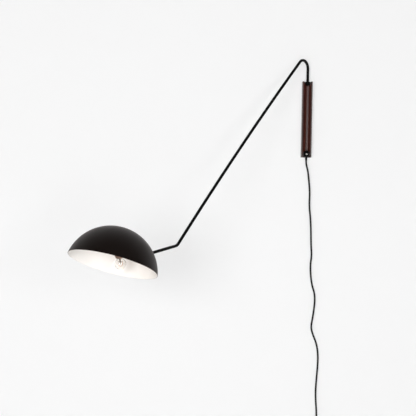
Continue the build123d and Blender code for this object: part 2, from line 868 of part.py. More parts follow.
report_tube("cord_hanging", cord_hanging.part, cord_line.wires()[0])
write(cord_hanging.part, "cord_hanging")

# ======== coil of the length put away ========
switch_bottom = switch_top - switch_length
half_pitch = coil_pitch / 2
coil_x = switch_x - coil_radius
coil_z = switch_bottom - coil_below_switch
back_layer = switch_y
front_layer = switch_y - coil_layer_gap
inner_radius_of_coil = coil_radius - coil_halves * half_pitch


def turn_point(radius, shift, angle, layer):
    """A point of a turn. The angle runs from the right, down and round by the left."""
    swept = radians(angle)
    return Vector(coil_x - shift + radius * cos(swept), layer, coil_z - radius * sin(swept))


def half_turn(radius, shift, angle, layer):
    ThreePointArc(
        turn_point(radius, shift, angle, layer),
        turn_point(radius, shift, angle + 90, layer),
        turn_point(radius, shift, angle + 180, layer),
    )


def quarter_climb(start, start_way, end, end_way):
    """Two arcs, tangent to each other, that join two points along two given directions."""
    chord = end - start
    both = start_way + end_way
    spread = 2 * (1 - start_way.dot(end_way))
    across = chord.dot(both)
    reach = (sqrt(across**2 + spread * chord.dot(chord)) - across) / spread
    joint = (start + start_way * reach + end - end_way * reach) * 0.5
    first = TangentArc(start, joint, tangent=start_way)
    TangentArc(joint, end, tangent=first % 1)


climb_slope = 2 * coil_layer_gap / (pi * inner_radius_of_coil)
with BuildPart() as cord_coil:
    with BuildLine() as coil_line:
        Line((switch_x, back_layer, switch_bottom + cord_into_switch), turn_point(coil_radius, 0, 0, back_layer))
        # inwards, in the back layer
        for half in range(coil_halves):
            odd = half % 2
            half_turn(coil_radius - half * half_pitch, odd * half_pitch, 180 * odd, back_layer)
        # the half turn that climbs to the front layer
        climb_start = turn_point(inner_radius_of_coil, half_pitch, 180, back_layer)
        climb_top = turn_point(inner_radius_of_coil, half_pitch, 270, (back_layer + front_layer) / 2)
        climb_end = turn_point(inner_radius_of_coil, half_pitch, 360, front_layer)
        way_up = Vector(0, 0, 1)
        way_over = Vector(1, -climb_slope, 0).normalized()
        quarter_climb(climb_start, way_up, climb_top, way_over)
        quarter_climb(climb_top, way_over, climb_end, -way_up)
        # outwards again, in the front layer
        for half in range(coil_halves):
            odd = half % 2
            radius = inner_radius_of_coil + (half + 1) * half_pitch
            half_turn(radius, (2 - odd) * half_pitch, 180 * odd, front_layer)
        tail_start = turn_point(coil_radius, 2 * half_pitch, 180, front_layer)
        tail_end = tail_start + Vector(0, 0, coil_tail)
        Line(tail_start, tail_end)
    coil_start = (switch_x, back_layer, switch_bottom + cord_into_switch)
    with BuildSketch(Plane(origin=coil_start, z_dir=(0, 0, -1))):
        Circle(cord_width / 2)
    sweep(path=coil_line.wires()[0])
coil_wire = coil_line.wires()[0]
report_tube("cord_coil", cord_coil.part, coil_wire)
coil_samples = 900
coil_points = [coil_wire.position_at(step / coil_samples) for step in range(coil_samples + 1)]
steps_apart = int(6 * cord_width / (coil_wire.length / coil_samples))
least_gap = min(
    (one - other).length
    for index, one in enumerate(coil_points)
    for other in coil_points[index + steps_apart :]
)
print(f"cord_coil: least gap to itself {least_gap - cord_width:.2f} mm")
print(f"cord_coil: least radius {inner_radius_of_coil:.1f} mm")
write(cord_coil.part, "cord_coil")

# ======== tie round the bottom of the coil ========
tie_x = coil_x - half_pitch
tie_reach = tie_width / 2 + half_pitch
tie_top = sqrt((coil_radius - (coil_halves - 1) * half_pitch) ** 2 - tie_reach**2) - cord_width / 2 - tie_slack
tie_foot = coil_radius + cord_width / 2 + tie_slack
tie_front = front_layer - cord_width / 2 - tie_slack
tie_back = back_layer + cord_width / 2 + tie_slack
with BuildPart() as coil_tie:
    tie_centre = (tie_x - tie_width / 2, (tie_front + tie_back) / 2, coil_z - (tie_top + tie_foot) / 2)
    with BuildSketch(Plane(origin=tie_centre, x_dir=(0, 1, 0), z_dir=(1, 0, 0))):
        tie_across = tie_back - tie_front
        tie_along = tie_foot - tie_top
        RectangleRounded(tie_across + 2 * tie_wall, tie_along + 2 * tie_wall, tie_corner + tie_wall)
        RectangleRounded(tie_across, tie_along, tie_corner, mode=Mode.SUBTRACT)
    extrude(amount=tie_width)
write(coil_tie.part, "coil_tie")

# ======== switch ========
switch_centre = (switch_x, switch_y, switch_top - switch_length / 2)
switch_face = Plane(origin=switch_centre, x_dir=(1, 0, 0), z_dir=(0, -1, 0))
half_depth = switch_depth / 2
cavity_depth = half_depth - switch_wall
pivot_height = half_depth - rocker_depth
window_width = rocker_width + 2 * rocker_gap
window_length = 2 * (sqrt(rocker_reach**2 - (cavity_depth - pivot_height) ** 2) + rocker_gap)
boss_places = ((switch_boss_out, switch_boss_up), (-switch_boss_out, -switch_boss_up))


def switch_shell(face):
    """Half of the switch's case, open at the joint, with its two screw bosses."""
    with BuildPart() as made:
        with BuildSketch(face):
            RectangleRounded(switch_width, switch_length, switch_corner)
        extrude(amount=half_depth)
        outer_face = made.faces().sort_by(Axis(face.origin, face.z_dir))[-1]
        fillet(outer_face.edges(), switch_edge_round)
        with BuildSketch(face):
            RectangleRounded(
                switch_width - 2 * switch_wall, switch_length - 2 * switch_wall, switch_cavity_corner
            )
        extrude(amount=cavity_depth, mode=Mode.SUBTRACT)
        with BuildSketch(face):
            with Locations(*boss_places):
                Circle(switch_boss_width / 2)
        extrude(amount=half_depth - switch_wall / 2)
        with BuildSketch(face):
            with Locations(*boss_places):
                Circle(switch_screw_shank / 2 + press_gap)
        extrude(amount=half_depth - switch_screw_recess, mode=Mode.SUBTRACT)
        with BuildSketch(Plane(origin=switch_centre, x_dir=(1, 0, 0), z_dir=(0, 0, 1)).offset(-switch_length)):
            Circle(cord_width / 2 + running_gap)
        extrude(amount=2 * switch_length, mode=Mode.SUBTRACT)
    return made.part


with BuildPart() as switch_front:
    add(switch_shell(switch_face))
    # ears that hold the rocker's stubs
    ear_inside = rocker_width / 2 + rocker_gap
    with BuildSketch(switch_face.offset(pivot_height - rocker_stub_width)):
        for side in (1, -1):
            with Locations((side * (ear_inside + rocker_stub_length / 2), 0)):
                Rectangle(rocker_stub_length, rocker_ear_length)
    extrude(amount=half_depth - switch_wall / 2 - pivot_height + rocker_stub_width)
    with BuildSketch(switch_face):
        Rectangle(window_width, window_length)
    extrude(amount=switch_depth, mode=Mode.SUBTRACT)
    with BuildSketch(Plane(origin=switch_face.from_local_coords((0, 0, pivot_height)), z_dir=(1, 0, 0))):
        Circle(rocker_stub_width / 2 + running_gap)
    extrude(amount=ear_inside + rocker_stub_length + seat_gap, both=True, mode=Mode.SUBTRACT)
write(switch_front.part, "switch_front")

switch_back_face = Plane(origin=switch_centre, x_dir=(1, 0, 0), z_dir=(0, 1, 0))
boss_places = tuple((x, -up) for x, up in boss_places)
with BuildPart() as switch_back:
    add(switch_shell(switch_back_face))
    with BuildSketch(switch_back_face.offset(half_depth - switch_screw_recess)):
        with Locations(*boss_places):
            Circle(switch_screw_head / 2 + pocket_gap)
    extrude(amount=switch_screw_recess, mode=Mode.SUBTRACT)
write(switch_back.part, "switch_back")

with BuildPart() as switch_screws:
    with BuildSketch(switch_back_face.offset(half_depth - switch_screw_recess)):
        with Locations(*boss_places):
            Circle(switch_screw_head / 2)
    extrude(amount=switch_screw_recess * 0.8)
    with BuildSketch(switch_back_face.offset(half_depth - switch_screw_recess)):
        with Locations(*boss_places):
            Circle(switch_screw_shank / 2)
    extrude(amount=-2 * (half_depth - switch_screw_recess))
write(switch_screws.part, "switch_screws")

with BuildPart() as switch_terminals:
    with BuildSketch(switch_back_face.offset(cavity_depth)):
        with Locations((0, terminal_up), (0, -terminal_up)):
            Rectangle(terminal_width, terminal_width)
    extrude(amount=-terminal_height)
write(switch_terminals.part, "switch_terminals")

# ======== rocker, tipped to its lit side ========
rocker_centre = switch_face.from_local_coords((0, 0, pivot_height))
tip = radians(rocker_tip)
rocker_profile = Plane(origin=rocker_centre, x_dir=(0, -sin(tip), cos(tip)), z_dir=(1, 0, 0))
rocker_crest = rocker_depth + rocker_proud
rocker_end_rise = rocker_crest + rocker_reach * tan(tip)
with BuildPart() as switch_rocker:
    with BuildSketch(rocker_profile):
        with BuildLine():
            Polyline(
                (-rocker_reach, 0),
                (-rocker_reach, rocker_end_rise),
                (0, rocker_crest),
                (rocker_reach, rocker_end_rise),
                (rocker_reach, 0),
                (rocker_stub_width, -rocker_stub_width),
                (-rocker_stub_width, -rocker_stub_width),
                close=True,
            )
        make_face()
        Circle(rocker_reach, mode=Mode.INTERSECT)
    extrude(amount=rocker_width / 2, both=True)
    with BuildSketch(rocker_profile):
        Circle(rocker_stub_width / 2)
    extrude(amount=ear_inside + rocker_stub_length, both=True)
write(switch_rocker.part, "switch_rocker")

# ======== plug ========
plug_foot = Plane(origin=tail_end, x_dir=(1, 0, 0), z_dir=(0, 0, 1))
with BuildPart() as plug_relief:
    ring_step = plug_relief_length / (2 * plug_relief_rings)
    with BuildSketch(plug_foot):
        Circle(plug_relief_tip_width / 2)
    loft_top = plug_foot.offset(plug_relief_length)
    with BuildSketch(loft_top):
        Circle(plug_relief_width / 2)
    loft()
    for ring in range(plug_relief_rings):
        with BuildSketch(plug_foot.offset((2 * ring + 1) * ring_step)):
            Circle(plug_relief_width)
            Circle(cord_width / 2, mode=Mode.SUBTRACT)
        extrude(amount=ring_step * 0.5, mode=Mode.SUBTRACT)
write(plug_relief.part, "plug_relief")

plug_neck = plug_foot.offset(plug_relief_length)
plug_front = plug_neck.offset(plug_length)
blade_sides = (blade_spacing / 2, -blade_spacing / 2)
with BuildPart() as plug_body:
    with BuildSketch(plug_neck):
        RectangleRounded(plug_neck_width, plug_neck_thickness, plug_corner)
    with BuildSketch(plug_neck.offset(plug_swell)):
        RectangleRounded(plug_width, plug_thickness, plug_corner)
    loft()
    with BuildSketch(plug_neck.offset(plug_swell)):
        RectangleRounded(plug_width, plug_thickness, plug_corner)
    extrude(amount=plug_length - plug_swell)
    fillet(plug_body.faces().sort_by(Axis.Z)[-1].edges(), plug_face_round)
    with BuildSketch(plug_front):
        for side in blade_sides:
            with Locations((side, 0)):
                Rectangle(blade_thickness + 2 * press_gap, blade_width + 2 * press_gap)
    extrude(amount=-blade_root, mode=Mode.SUBTRACT)
write(plug_body.part, "plug_body")

with BuildPart() as plug_blades:
    with BuildSketch(plug_front.offset(-blade_root)):
        for side in blade_sides:
            with Locations((side, 0)):
                Rectangle(blade_thickness, blade_width)
    extrude(amount=blade_root + blade_length)
    hole_centre = plug_front.from_local_coords((0, 0, blade_length - blade_hole_from_tip))
    with BuildSketch(Plane(origin=hole_centre, z_dir=(1, 0, 0))):
        Circle(blade_hole / 2)
    extrude(amount=plug_width, both=True, mode=Mode.SUBTRACT)
write(plug_blades.part, "plug_blades")

# ======== what the sizes give ========
print(f"shade entry {shade_entry}, end direction {end_direction}")
print(f"rim centre {rim_centre}, opening {opening}, dome centre {dome_centre}")
print(f"dome radius {dome_radius:.2f}, tube off the skin's square {degrees(skin_slope):.2f} degrees")
print(f"cord put away and hanging: {(cord_line.wires()[0].length + coil_wire.length) / 1000:.3f} m")
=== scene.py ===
"""A swing-arm wall lamp, dressed over its solids: walnut bar, bent black tube, dome shade, cord, switch and plug.

Metres. The wall is the plane Y = 0, the room is towards -Y and +Z is up.
"""

from math import asin, cos, degrees, pi, radians, sin, sqrt

import bmesh
import bpy
from bpy.props import FloatProperty, FloatVectorProperty, PointerProperty
from bpy.types import Operator, Panel, PropertyGroup
from mathutils import Matrix, Vector


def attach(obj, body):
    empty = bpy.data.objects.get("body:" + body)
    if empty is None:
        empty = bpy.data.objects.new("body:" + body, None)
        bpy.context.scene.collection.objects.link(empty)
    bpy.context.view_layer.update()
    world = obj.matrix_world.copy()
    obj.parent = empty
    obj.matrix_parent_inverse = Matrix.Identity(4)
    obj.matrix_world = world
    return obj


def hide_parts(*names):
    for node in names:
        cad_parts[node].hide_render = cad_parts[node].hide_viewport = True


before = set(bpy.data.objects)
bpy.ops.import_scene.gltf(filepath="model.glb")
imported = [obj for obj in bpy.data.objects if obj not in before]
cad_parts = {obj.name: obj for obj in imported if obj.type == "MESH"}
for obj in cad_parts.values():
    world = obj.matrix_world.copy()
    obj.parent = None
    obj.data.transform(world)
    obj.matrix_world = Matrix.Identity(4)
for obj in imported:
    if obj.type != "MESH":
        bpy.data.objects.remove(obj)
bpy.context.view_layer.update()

bl_info = {
    "name": "Swing-arm wall lamp",
    "version": (1, 0, 0),
    "blender": (4, 5, 0),
    "location": "3D View > Sidebar > Wall lamp",
    "description": "Models and finishes a swing-arm wall lamp in walnut and black",
    "category": "Object",
}

MM = 0.001
TUBE_END = 20.415  # where the tube stops inside the shade, in millimetres beyond its skin
TUBE_WALL = 1.0 * MM
ON_TUBE = 5.02  # inner radius of what is pushed over the tube, in millimetres
STAGE_SHARE = 0.55  # how much of the stage is seen in its plain colour


def length(name, description, millimetres):
    return FloatProperty(
        name=name, description=description, default=millimetres * MM, min=0.0, unit="LENGTH", precision=4
    )


def turn(name, description, value):
    return FloatProperty(name=name, description=description, default=radians(value), unit="ROTATION")


def colour(name, description, value):
    return FloatVectorProperty(
        name=name, description=description, default=value, size=3, min=0.0, max=1.0, subtype="COLOR"
    )


class LampSizes(PropertyGroup):
    bar_height: length("Bar height", "Walnut bar, end to end", 273)
    bar_width: length("Bar width", "Walnut bar, side to side", 38)
    axis_out: length("Pivot out from wall", "Wall to the axis that the arm swings on", 21)
    tube_width: length("Tube width", "Outside of the bent tube", 10)
    post_top: length("Post top", "Middle of the bar to the start of the upper bend", 182.3)
    post_bottom: length("Post bottom", "Middle of the bar down to the tube's lower end", 127)
    upper_bend: length("Upper bend", "Radius of the bend at the top", 28)
    run_length: length("Run length", "Long run between the two bends", 896)
    elbow: length("Elbow", "Radius of the bend before the shade", 25)
    end_length: length("End length", "From the elbow to the shade's skin", 158)
    swing: turn("Swing", "The arm's plane, out from the wall", 48.5)
    run_angle: turn("Run angle", "The long run's start, from upright", 45.9)
    run_bow: turn("Run bow", "How far the shade's weight bows the long run", 3.9)
    elbow_turn: turn("Elbow turn", "How far the elbow lifts the end", 36.9)
    shade_width: length("Shade width", "Across the shade's rim", 287)
    shade_depth: length("Shade depth", "From the rim to the crown", 119.5)
    shade_wall: length("Shade wall", "Thickness of the spun shade", 1.2)
    shade_tilt: turn("Shade tilt", "The opening, out from straight down", 19.5)
    neck_lead: length("Neck lead", "Swan neck: straight to its lower bend", 10.9)
    neck_lower_bend: length("Neck lower bend", "Swan neck: radius of the lower bend", 15)
    neck_rise: length("Neck rise", "Swan neck: straight between its bends", 60.7)
    neck_rise_angle: turn("Neck rise angle", "Swan neck: how steeply it rises", 70)
    neck_upper_bend: length("Neck upper bend", "Swan neck: radius of the upper bend", 16)
    holder_length: length("Holder length", "Lamp holder, top to mouth", 46)
    globe_width: length("Globe width", "Glass globe of the bulb", 36)
    cord_width: length("Cord width", "Round cord", 6.5)
    coil_radius: length("Coil radius", "Outer turn of the coil put away", 46)


class LampColours(PropertyGroup):
    walnut_light: colour("Walnut, light grain", "Early wood of the walnut", (0.058, 0.0125, 0.0072))
    walnut_dark: colour("Walnut, dark grain", "Late wood of the walnut", (0.017, 0.0034, 0.0021))
    tube_black: colour("Tube black", "Satin powder coat of the tube", (0.0042, 0.0040, 0.0040))
    shade_black: colour("Shade black", "Matt outside of the shade", (0.0052, 0.0037, 0.0031))
    lining_white: colour("Lining white", "Inside of the shade", (0.84, 0.825, 0.80))
    # Painted light: the rim edge's warm brown stands in for the bulb's warm light falling on that edge
    rim_warm_glow: colour("Rim brown", "Edge of the shade's rim, painted warm brown for the bulb's light on it", (0.075, 0.03, 0.018))
    plastic_black: colour("Plastic black", "Switch and plug", (0.011, 0.011, 0.0115))
    nylon_black: colour("Nylon black", "Bushes, washers and saddles", (0.012, 0.012, 0.012))
    cord_black: colour("Cord black", "Jacket of the cord", (0.0085, 0.0085, 0.009))
    tie_black: colour("Tie black", "Strap round the coil", (0.016, 0.016, 0.017))
    holder_brown: colour("Holder brown", "Lamp holder", (0.2, 0.125, 0.09))
    steel: colour("Zinc steel", "Plates, nut and screws", (0.56, 0.57, 0.58))
    nickel: colour("Nickel", "Bulb cap and grip screw", (0.7, 0.68, 0.65))
    brass: colour("Brass", "Blades, terminals and contact", (0.72, 0.5, 0.22))
    glow: colour("Filament glow", "Amber filament", (1.0, 0.42, 0.12))
    wall: colour("Wall", "Pale wall behind the lamp", (0.9216, 0.9216, 0.9216))
    floor: colour("Floor", "Pale floor below the lamp", (0.88, 0.88, 0.88))


# ======== the tools of the bench ========


def switch_to(mode):
    bpy.ops.object.mode_set(mode=mode)


def deselect():
    if bpy.context.mode != "OBJECT":
        switch_to("OBJECT")
    bpy.ops.object.select_all(action="DESELECT")


def pick(piece):
    """Select one piece alone and make it active."""
    deselect()
    piece.select_set(True)
    bpy.context.view_layer.objects.active = piece


def started(name):
    """Name the primitive just added, put its place in its mesh, and open it with all of it selected."""
    piece = bpy.context.object
    piece.name = piece.data.name = name
    bpy.ops.object.transform_apply(location=True, rotation=True, scale=True)
    switch_to("EDIT")
    bpy.ops.mesh.select_all(action="SELECT")
    return piece


def choose(piece, kind, test):
    """In edit mode, select only the vertices, edges or faces that pass a test."""
    bpy.ops.mesh.select_mode(type=kind)
    bpy.ops.mesh.select_all(action="DESELECT")
    mesh = bmesh.from_edit_mesh(piece.data)
    for element in {"VERT": mesh.verts, "EDGE": mesh.edges, "FACE": mesh.faces}[kind]:
        if test(element):
            element.select_set(True)
    bmesh.update_edit_mesh(piece.data)


def extrude(move):
    bpy.ops.mesh.extrude_region_move(TRANSFORM_OT_translate={"value": move})


def resize(factors, centre):
    bpy.ops.transform.resize(value=factors, center_override=centre)


def modify(piece, kind, **settings):
    """Add a modifier and apply it."""
    pick(piece)
    modifier = piece.modifiers.new(kind.title(), kind)
    for setting, value in settings.items():
        setattr(modifier, setting, value)
    bpy.ops.object.modifier_apply(modifier=modifier.name)


def cut(piece, *cutters):
    """Take cutters out of a piece."""
    for cutter in cutters:
        modify(piece, "BOOLEAN", operation="DIFFERENCE", solver="EXACT", object=cutter)
        bpy.data.objects.remove(cutter)


def settle(piece, place=None, angle=32):
    """Put a piece in its place, with its place in its mesh, and smooth it up to an angle."""
    pick(piece)
    if place is not None:
        piece.matrix_world = place
        bpy.ops.object.transform_apply(location=True, rotation=True, scale=True)
    bpy.ops.object.shade_smooth_by_angle(angle=radians(angle))
    return piece


def close_up(piece):
    """Merge what meets and turn every face outwards."""
    bpy.ops.mesh.select_all(action="SELECT")
    bpy.ops.mesh.remove_doubles(threshold=1e-6)
    bpy.ops.mesh.normals_make_consistent(inside=False)
    switch_to("OBJECT")


def frame_at(origin, along, side):
    """A place whose Z runs along one direction and whose X keeps near another."""
    z = Vector(along).normalized()
    x = (Vector(side) - z * z.dot(Vector(side))).normalized()
    turned_axes = Matrix((x, z.cross(x), z)).transposed().to_4x4()
    return Matrix.Translation(Vector(origin)) @ turned_axes


def softened(corners, radius, ring=False, steps=3):
    """The corners of a profile in millimetres, each rounded."""
    points = []
    for index, corner in enumerate(corners):
        if not ring and index in (0, len(corners) - 1):
            points.append(corner)
            continue
        here = Vector(corner)
        before = Vector(corners[index - 1]) - here
        after = Vector(corners[(index + 1) % len(corners)]) - here
        start = here + before.normalized() * min(radius, 0.45 * before.length)
        end = here + after.normalized() * min(radius, 0.45 * after.length)
        for step in range(steps + 1):
            share = step / steps
            points.append(tuple(start.lerp(here, share).lerp(here.lerp(end, share), share)))
    return points


def turned(name, profile, place, facets=64, ring=False):
    """A turned piece, drawn up its axis from one (radius, height) in millimetres to the next.

    A ring comes back to its start, so it has a hole through it.
    """
    deselect()
    radius, height = profile[0]
    bpy.ops.mesh.primitive_circle_add(
        vertices=facets,
        radius=radius * MM,
        location=(0, 0, height * MM),
        fill_type="NOTHING" if ring else "NGON",
    )
    piece = started(name)
    for next_radius, next_height in list(profile[1:]) + ([profile[0]] if ring else []):
        extrude((0, 0, (next_height - height) * MM))
        if next_radius:
            resize((next_radius / radius, next_radius / radius, 1), (0, 0, next_height * MM))
        else:
            bpy.ops.mesh.merge(type="CENTER")
        radius, height = next_radius, next_height
    close_up(piece)
    return settle(piece, place)


def along(place, start, moves):
    """The place at the end of a tube's moves, with its Z along the tube.

    The tube starts up a place's Z and stays in its XZ plane. Each move is a straight length, or a bend's radius,
    turn and steps.
    """
    x, z, heading = 0.0, start, 0.0
    for move in moves:
        if len(move) == 1:
            x, z = x + sin(heading) * move[0], z + cos(heading) * move[0]
        else:
            bend, angle, _ = move
            side = bend if angle > 0 else -bend
            x, z = x + side * cos(heading), z - side * sin(heading)
            heading += angle
            x, z = x - side * cos(heading), z + side * sin(heading)
    return place @ Matrix.Translation((x, 0, z)) @ Matrix.Rotation(heading, 4, "Y")


def piped(name, radius, start, moves, place, facets=32):
    """A tube drawn through its moves."""
    deselect()
    bpy.ops.mesh.primitive_circle_add(vertices=facets, radius=radius, location=(0, 0, start))
    piece = started(name)
    level = Matrix.Identity(4)
    for count, move in enumerate(moves):
        here = along(level, start, moves[:count])
        if len(move) == 1:
            extrude(here.to_3x3() @ Vector((0, 0, move[0])))
        else:
            bend, angle, steps = move
            centre = here @ Vector((bend if angle > 0 else -bend, 0, 0))
            bpy.ops.mesh.spin(steps=steps, angle=-angle, center=centre, axis=(0, 1, 0))
    close_up(piece)
    return settle(piece, place)


def arched(name, radius, straight, tall, place, chamfer=0.0, facets=96):
    """A prism whose section is a half circle towards -Y with straight sides towards +Y, raised along Z."""
    deselect()
    bpy.ops.mesh.primitive_circle_add(vertices=facets, radius=radius)
    piece = started(name)
    choose(piece, "VERT", lambda v: v.co.y > radius * 0.01)
    bpy.ops.mesh.delete(type="VERT")
    choose(piece, "VERT", lambda v: abs(v.co.x) > radius * 0.9999)
    extrude((0, straight - chamfer, 0))
    if chamfer:
        extrude((0, chamfer, 0))
        resize((1 - chamfer / radius, 1, 1), (0, 0, 0))
    bpy.ops.mesh.edge_face_add()
    bpy.ops.mesh.select_all(action="SELECT")
    bpy.ops.mesh.edge_face_add()
    extrude((0, 0, tall))
    close_up(piece)
    return settle(piece, place)


def slab(name, size, corner, place, facets=8):
    """A plate that stands on the XY plane, with its upright edges rounded."""
    deselect()
    bpy.ops.mesh.primitive_cube_add(size=1, location=(0, 0, size[2] / 2), scale=size)
    piece = started(name)
    choose(piece, "EDGE", lambda e: abs((e.verts[0].co - e.verts[1].co).z) > size[2] / 2)
    bpy.ops.mesh.bevel(offset=corner, segments=facets, affect="EDGES")
    close_up(piece)
    return settle(piece, place)


# ======== finishes ========


class Flow:
    """A socket that flows through a finish. A sum on it adds a Math node."""

    def __init__(self, finish, socket):
        self.finish, self.socket = finish, socket

    def math(self, operation, first, second):
        return self.finish.node("Math", {"operation": operation}, {0: first, 1: second})

    def __add__(self, other):
        return self.math("ADD", self, other)

    def __radd__(self, other):
        return self.math("ADD", other, self)

    def __sub__(self, other):
        return self.math("SUBTRACT", self, other)

    def __rsub__(self, other):
        return self.math("SUBTRACT", other, self)

    def __mul__(self, other):
        return self.math("MULTIPLY", self, other)

    def __rmul__(self, other):
        return self.math("MULTIPLY", other, self)


class Finish:
    """A material in the making: constants go on its shader's own sockets, and node() adds the rest."""

    def __init__(self, name, constants):
        self.material = bpy.data.materials.new(name)
        self.material.use_nodes = True
        self.tree = self.material.node_tree
        self.shader = self.tree.nodes["Principled BSDF"]
        self.output = self.tree.nodes["Material Output"]
        for socket, value in constants.items():
            self.shader.inputs[socket].default_value = value

    def node(self, kind, settings=None, values=None, out=0):
        made = self.tree.nodes.new("ShaderNode" + kind)
        for setting, value in (settings or {}).items():
            setattr(made, setting, value)
        for socket, value in (values or {}).items():
            self.join(value, made.inputs[socket])
        return Flow(self, made.outputs[out])

    def join(self, value, socket):
        if isinstance(value, Flow):
            self.tree.links.new(value.socket, socket)
        else:
            socket.default_value = value

    def varies(self, **flows):
        """Link flows to the shader, with an underscore for the space in a socket's name."""
        for socket, flow in flows.items():
            self.join(flow, self.shader.inputs[socket.replace("_", " ")])
        return self.material

    def where(self, stretch=(1, 1, 1), turn=(0, 0, 0)):
        """The piece's own coordinates, drawn out and turned."""
        place = self.node("TexCoord", out="Object")
        return self.node(
            "Mapping", {"vector_type": "TEXTURE"}, {"Vector": place, "Rotation": turn, "Scale": stretch}
        )

    def noise(self, where, scale, detail=3.0, roughness=0.5):
        return self.node(
            "TexNoise", None, {"Vector": where, "Scale": scale, "Detail": detail, "Roughness": roughness}
        )

    def mix(self, share, first, second):
        first, second = (c if isinstance(c, Flow) else (*c, 1) for c in (first, second))
        return self.node("Mix", {"data_type": "RGBA"}, {0: share, 6: first, 7: second}, out=2)

    def bump(self, height, distance, strength=1.0):
        return self.node("Bump", None, {"Strength": strength, "Distance": distance, "Height": height})

    def between(self, value, low, high):
        """0 below one number, 1 above another, smooth between them."""
        return self.node(
            "MapRange", {"interpolation_type": "SMOOTHSTEP"}, {"Value": value, "From Min": low, "From Max": high}
        )


def scaled(shade, factor):
    return tuple(part * factor for part in shade)


def walnut(colours):
    """Walnut under a clear, glossy lacquer: slow growth bands, finer streaks and open pores along the grain."""
    finish = Finish(
        "walnut_lacquered",
        {"Specular IOR Level": 0.05, "Coat Weight": 0.95, "Coat Roughness": 0.22, "Coat IOR": 1.45},
    )
    grain = finish.where(stretch=(1, 1, 14), turn=(0.02, 0.03, 0.5))
    bands = finish.node(
        "TexWave",
        {"bands_direction": "X"},
        {
            "Vector": grain, "Scale": 34.0, "Distortion": 5.0,
            "Detail": 3.0, "Detail Scale": 22.0, "Detail Roughness": 0.6,
        },
        out="Fac",
    )
    streaks = finish.noise(finish.where(stretch=(1, 1, 40)), 420, 4, 0.65)
    pores = finish.between(finish.noise(finish.where(stretch=(1, 1, 26)), 1500, 2), 0.62, 0.72)
    growth = bands * 0.6 + streaks * 0.5
    wood = finish.mix(growth, colours.walnut_dark, colours.walnut_light)
    wood = finish.mix(pores * 0.55, wood, scaled(colours.walnut_dark, 0.45))
    return finish.varies(
        Base_Color=wood,
        Roughness=0.42 + pores * 0.2 - streaks * 0.1,
        Normal=finish.bump(growth * 0.4 - pores, 0.00005, 0.35),
    )


def coated(name, shade, roughness, grain, depth, constants, spread=0.2):
    """Powder coat or paint: a fine orange peel, slow clouds in its sheen and a few duller marks."""
    finish = Finish(name, constants)
    where = finish.where()
    clouds = finish.noise(where, 22, 3)
    peel = finish.noise(where, grain, 2)
    marks = finish.between(finish.noise(where, 130, 5, 0.7), 0.63, 0.8)
    return finish.varies(
        Base_Color=finish.mix(clouds * 0.7 + peel * 0.3, scaled(shade, 1 - spread), scaled(shade, 1 + spread)),
        Roughness=roughness + (clouds - 0.5) * 0.12 + marks * 0.08,
        Normal=finish.bump(peel, depth, 0.6),
    )


def tube_coat(colours):
    return coated("tube_powder_coat", colours.tube_black, 0.4, 2400, 0.00005, {"Specular IOR Level": 0.07})


def shade_coat(colours):
    return coated(
        "shade_matt_coat", colours.shade_black, 0.48, 1900, 0.00006,
        {
            "Specular IOR Level": 0.16, "Specular Tint": (1.0, 0.82, 0.79, 1),
            "Sheen Weight": 0.09, "Sheen Roughness": 0.3, "Sheen Tint": (1.0, 0.82, 0.8, 1),
        },
    )


def lining(colours):
    return coated("shade_white_lining", colours.lining_white, 0.5, 1500, 0.00004, {"Specular IOR Level": 0.3}, 0.02)


# Painted light: the shade's rim edge is given a warm brown that stands in for the bulb's warm light on it
def rim_edge(colours):
    return coated("shade_rim_painted_glow", colours.rim_warm_glow, 0.4, 2600, 0.00003, {"Specular IOR Level": 0.4})


def moulded(name, shade, roughness, grain=1700):
    """Moulded plastic with the fine spark-eroded grain of its mould."""
    finish = Finish(name, {"Specular IOR Level": 0.3})
    where = finish.where()
    cells = finish.node("TexVoronoi", None, {"Vector": where, "Scale": grain}, out="Distance")
    flow = finish.noise(where, 35, 3)
    return finish.varies(
        Base_Color=finish.mix(flow, scaled(shade, 0.85), scaled(shade, 1.15)),
        Roughness=roughness + cells * 0.1 + (flow - 0.5) * 0.1,
        Normal=finish.bump(cells, 0.00006, 0.5),
    )


def plastic(colours):
    return moulded("plastic_black", colours.plastic_black, 0.36)


def nylon(colours):
    return moulded("nylon_black", colours.nylon_black, 0.45)


def holder_plastic(colours):
    return moulded("holder_brown", colours.holder_brown, 0.34, 1300)


def jacket(colours):
    """Black cord jacket: matt, with the faint lengthwise waver of an extruded skin."""
    finish = Finish("cord_jacket", {"Specular IOR Level": 0.25})
    where = finish.where()
    skin = finish.noise(where, 900, 3, 0.6)
    dust = finish.between(finish.noise(where, 60, 4, 0.6), 0.5, 0.75)
    return finish.varies(
        Base_Color=finish.mix(dust * 0.6 + skin * 0.3, colours.cord_black, scaled(colours.cord_black, 2.0)),
        Roughness=0.5 + dust * 0.15,
        Normal=finish.bump(skin, 0.00012, 0.5),
    )


def strap(colours):
    """Hook-and-loop strap: a plain weave with a little fuzz."""
    finish = Finish("tie_strap", {"Specular IOR Level": 0.15, "Sheen Weight": 0.3, "Sheen Roughness": 0.5})
    weft, warp = (
        finish.node("TexWave", {"bands_direction": axis}, {"Vector": finish.where(), "Scale": 320.0}, out="Fac")
        for axis in "XZ"
    )
    weave = weft * warp
    fuzz = finish.noise(finish.where(), 1800, 3, 0.7)
    return finish.varies(
        Base_Color=finish.mix(weave * 0.7 + fuzz * 0.3, scaled(colours.tie_black, 0.5), scaled(colours.tie_black, 1.7)),
        Roughness=0.75 + fuzz * 0.15,
        Normal=finish.bump(weave + fuzz * 0.4, 0.0002, 0.7),
    )


def plated(name, shade, roughness, scratch=(1, 1, 1)):
    """Metal, plated or bare: fine scratches, and duller where it has been handled."""
    finish = Finish(name, {"Metallic": 1.0})
    scratches = finish.noise(finish.where(stretch=scratch), 2200, 2, 0.6)
    handled = finish.noise(finish.where(), 90, 4, 0.6)
    return finish.varies(
        Base_Color=finish.mix(handled, scaled(shade, 0.8), shade),
        Roughness=roughness + scratches * 0.12 + (handled - 0.5) * 0.16,
        Normal=finish.bump(scratches, 0.00002, 0.5),
    )


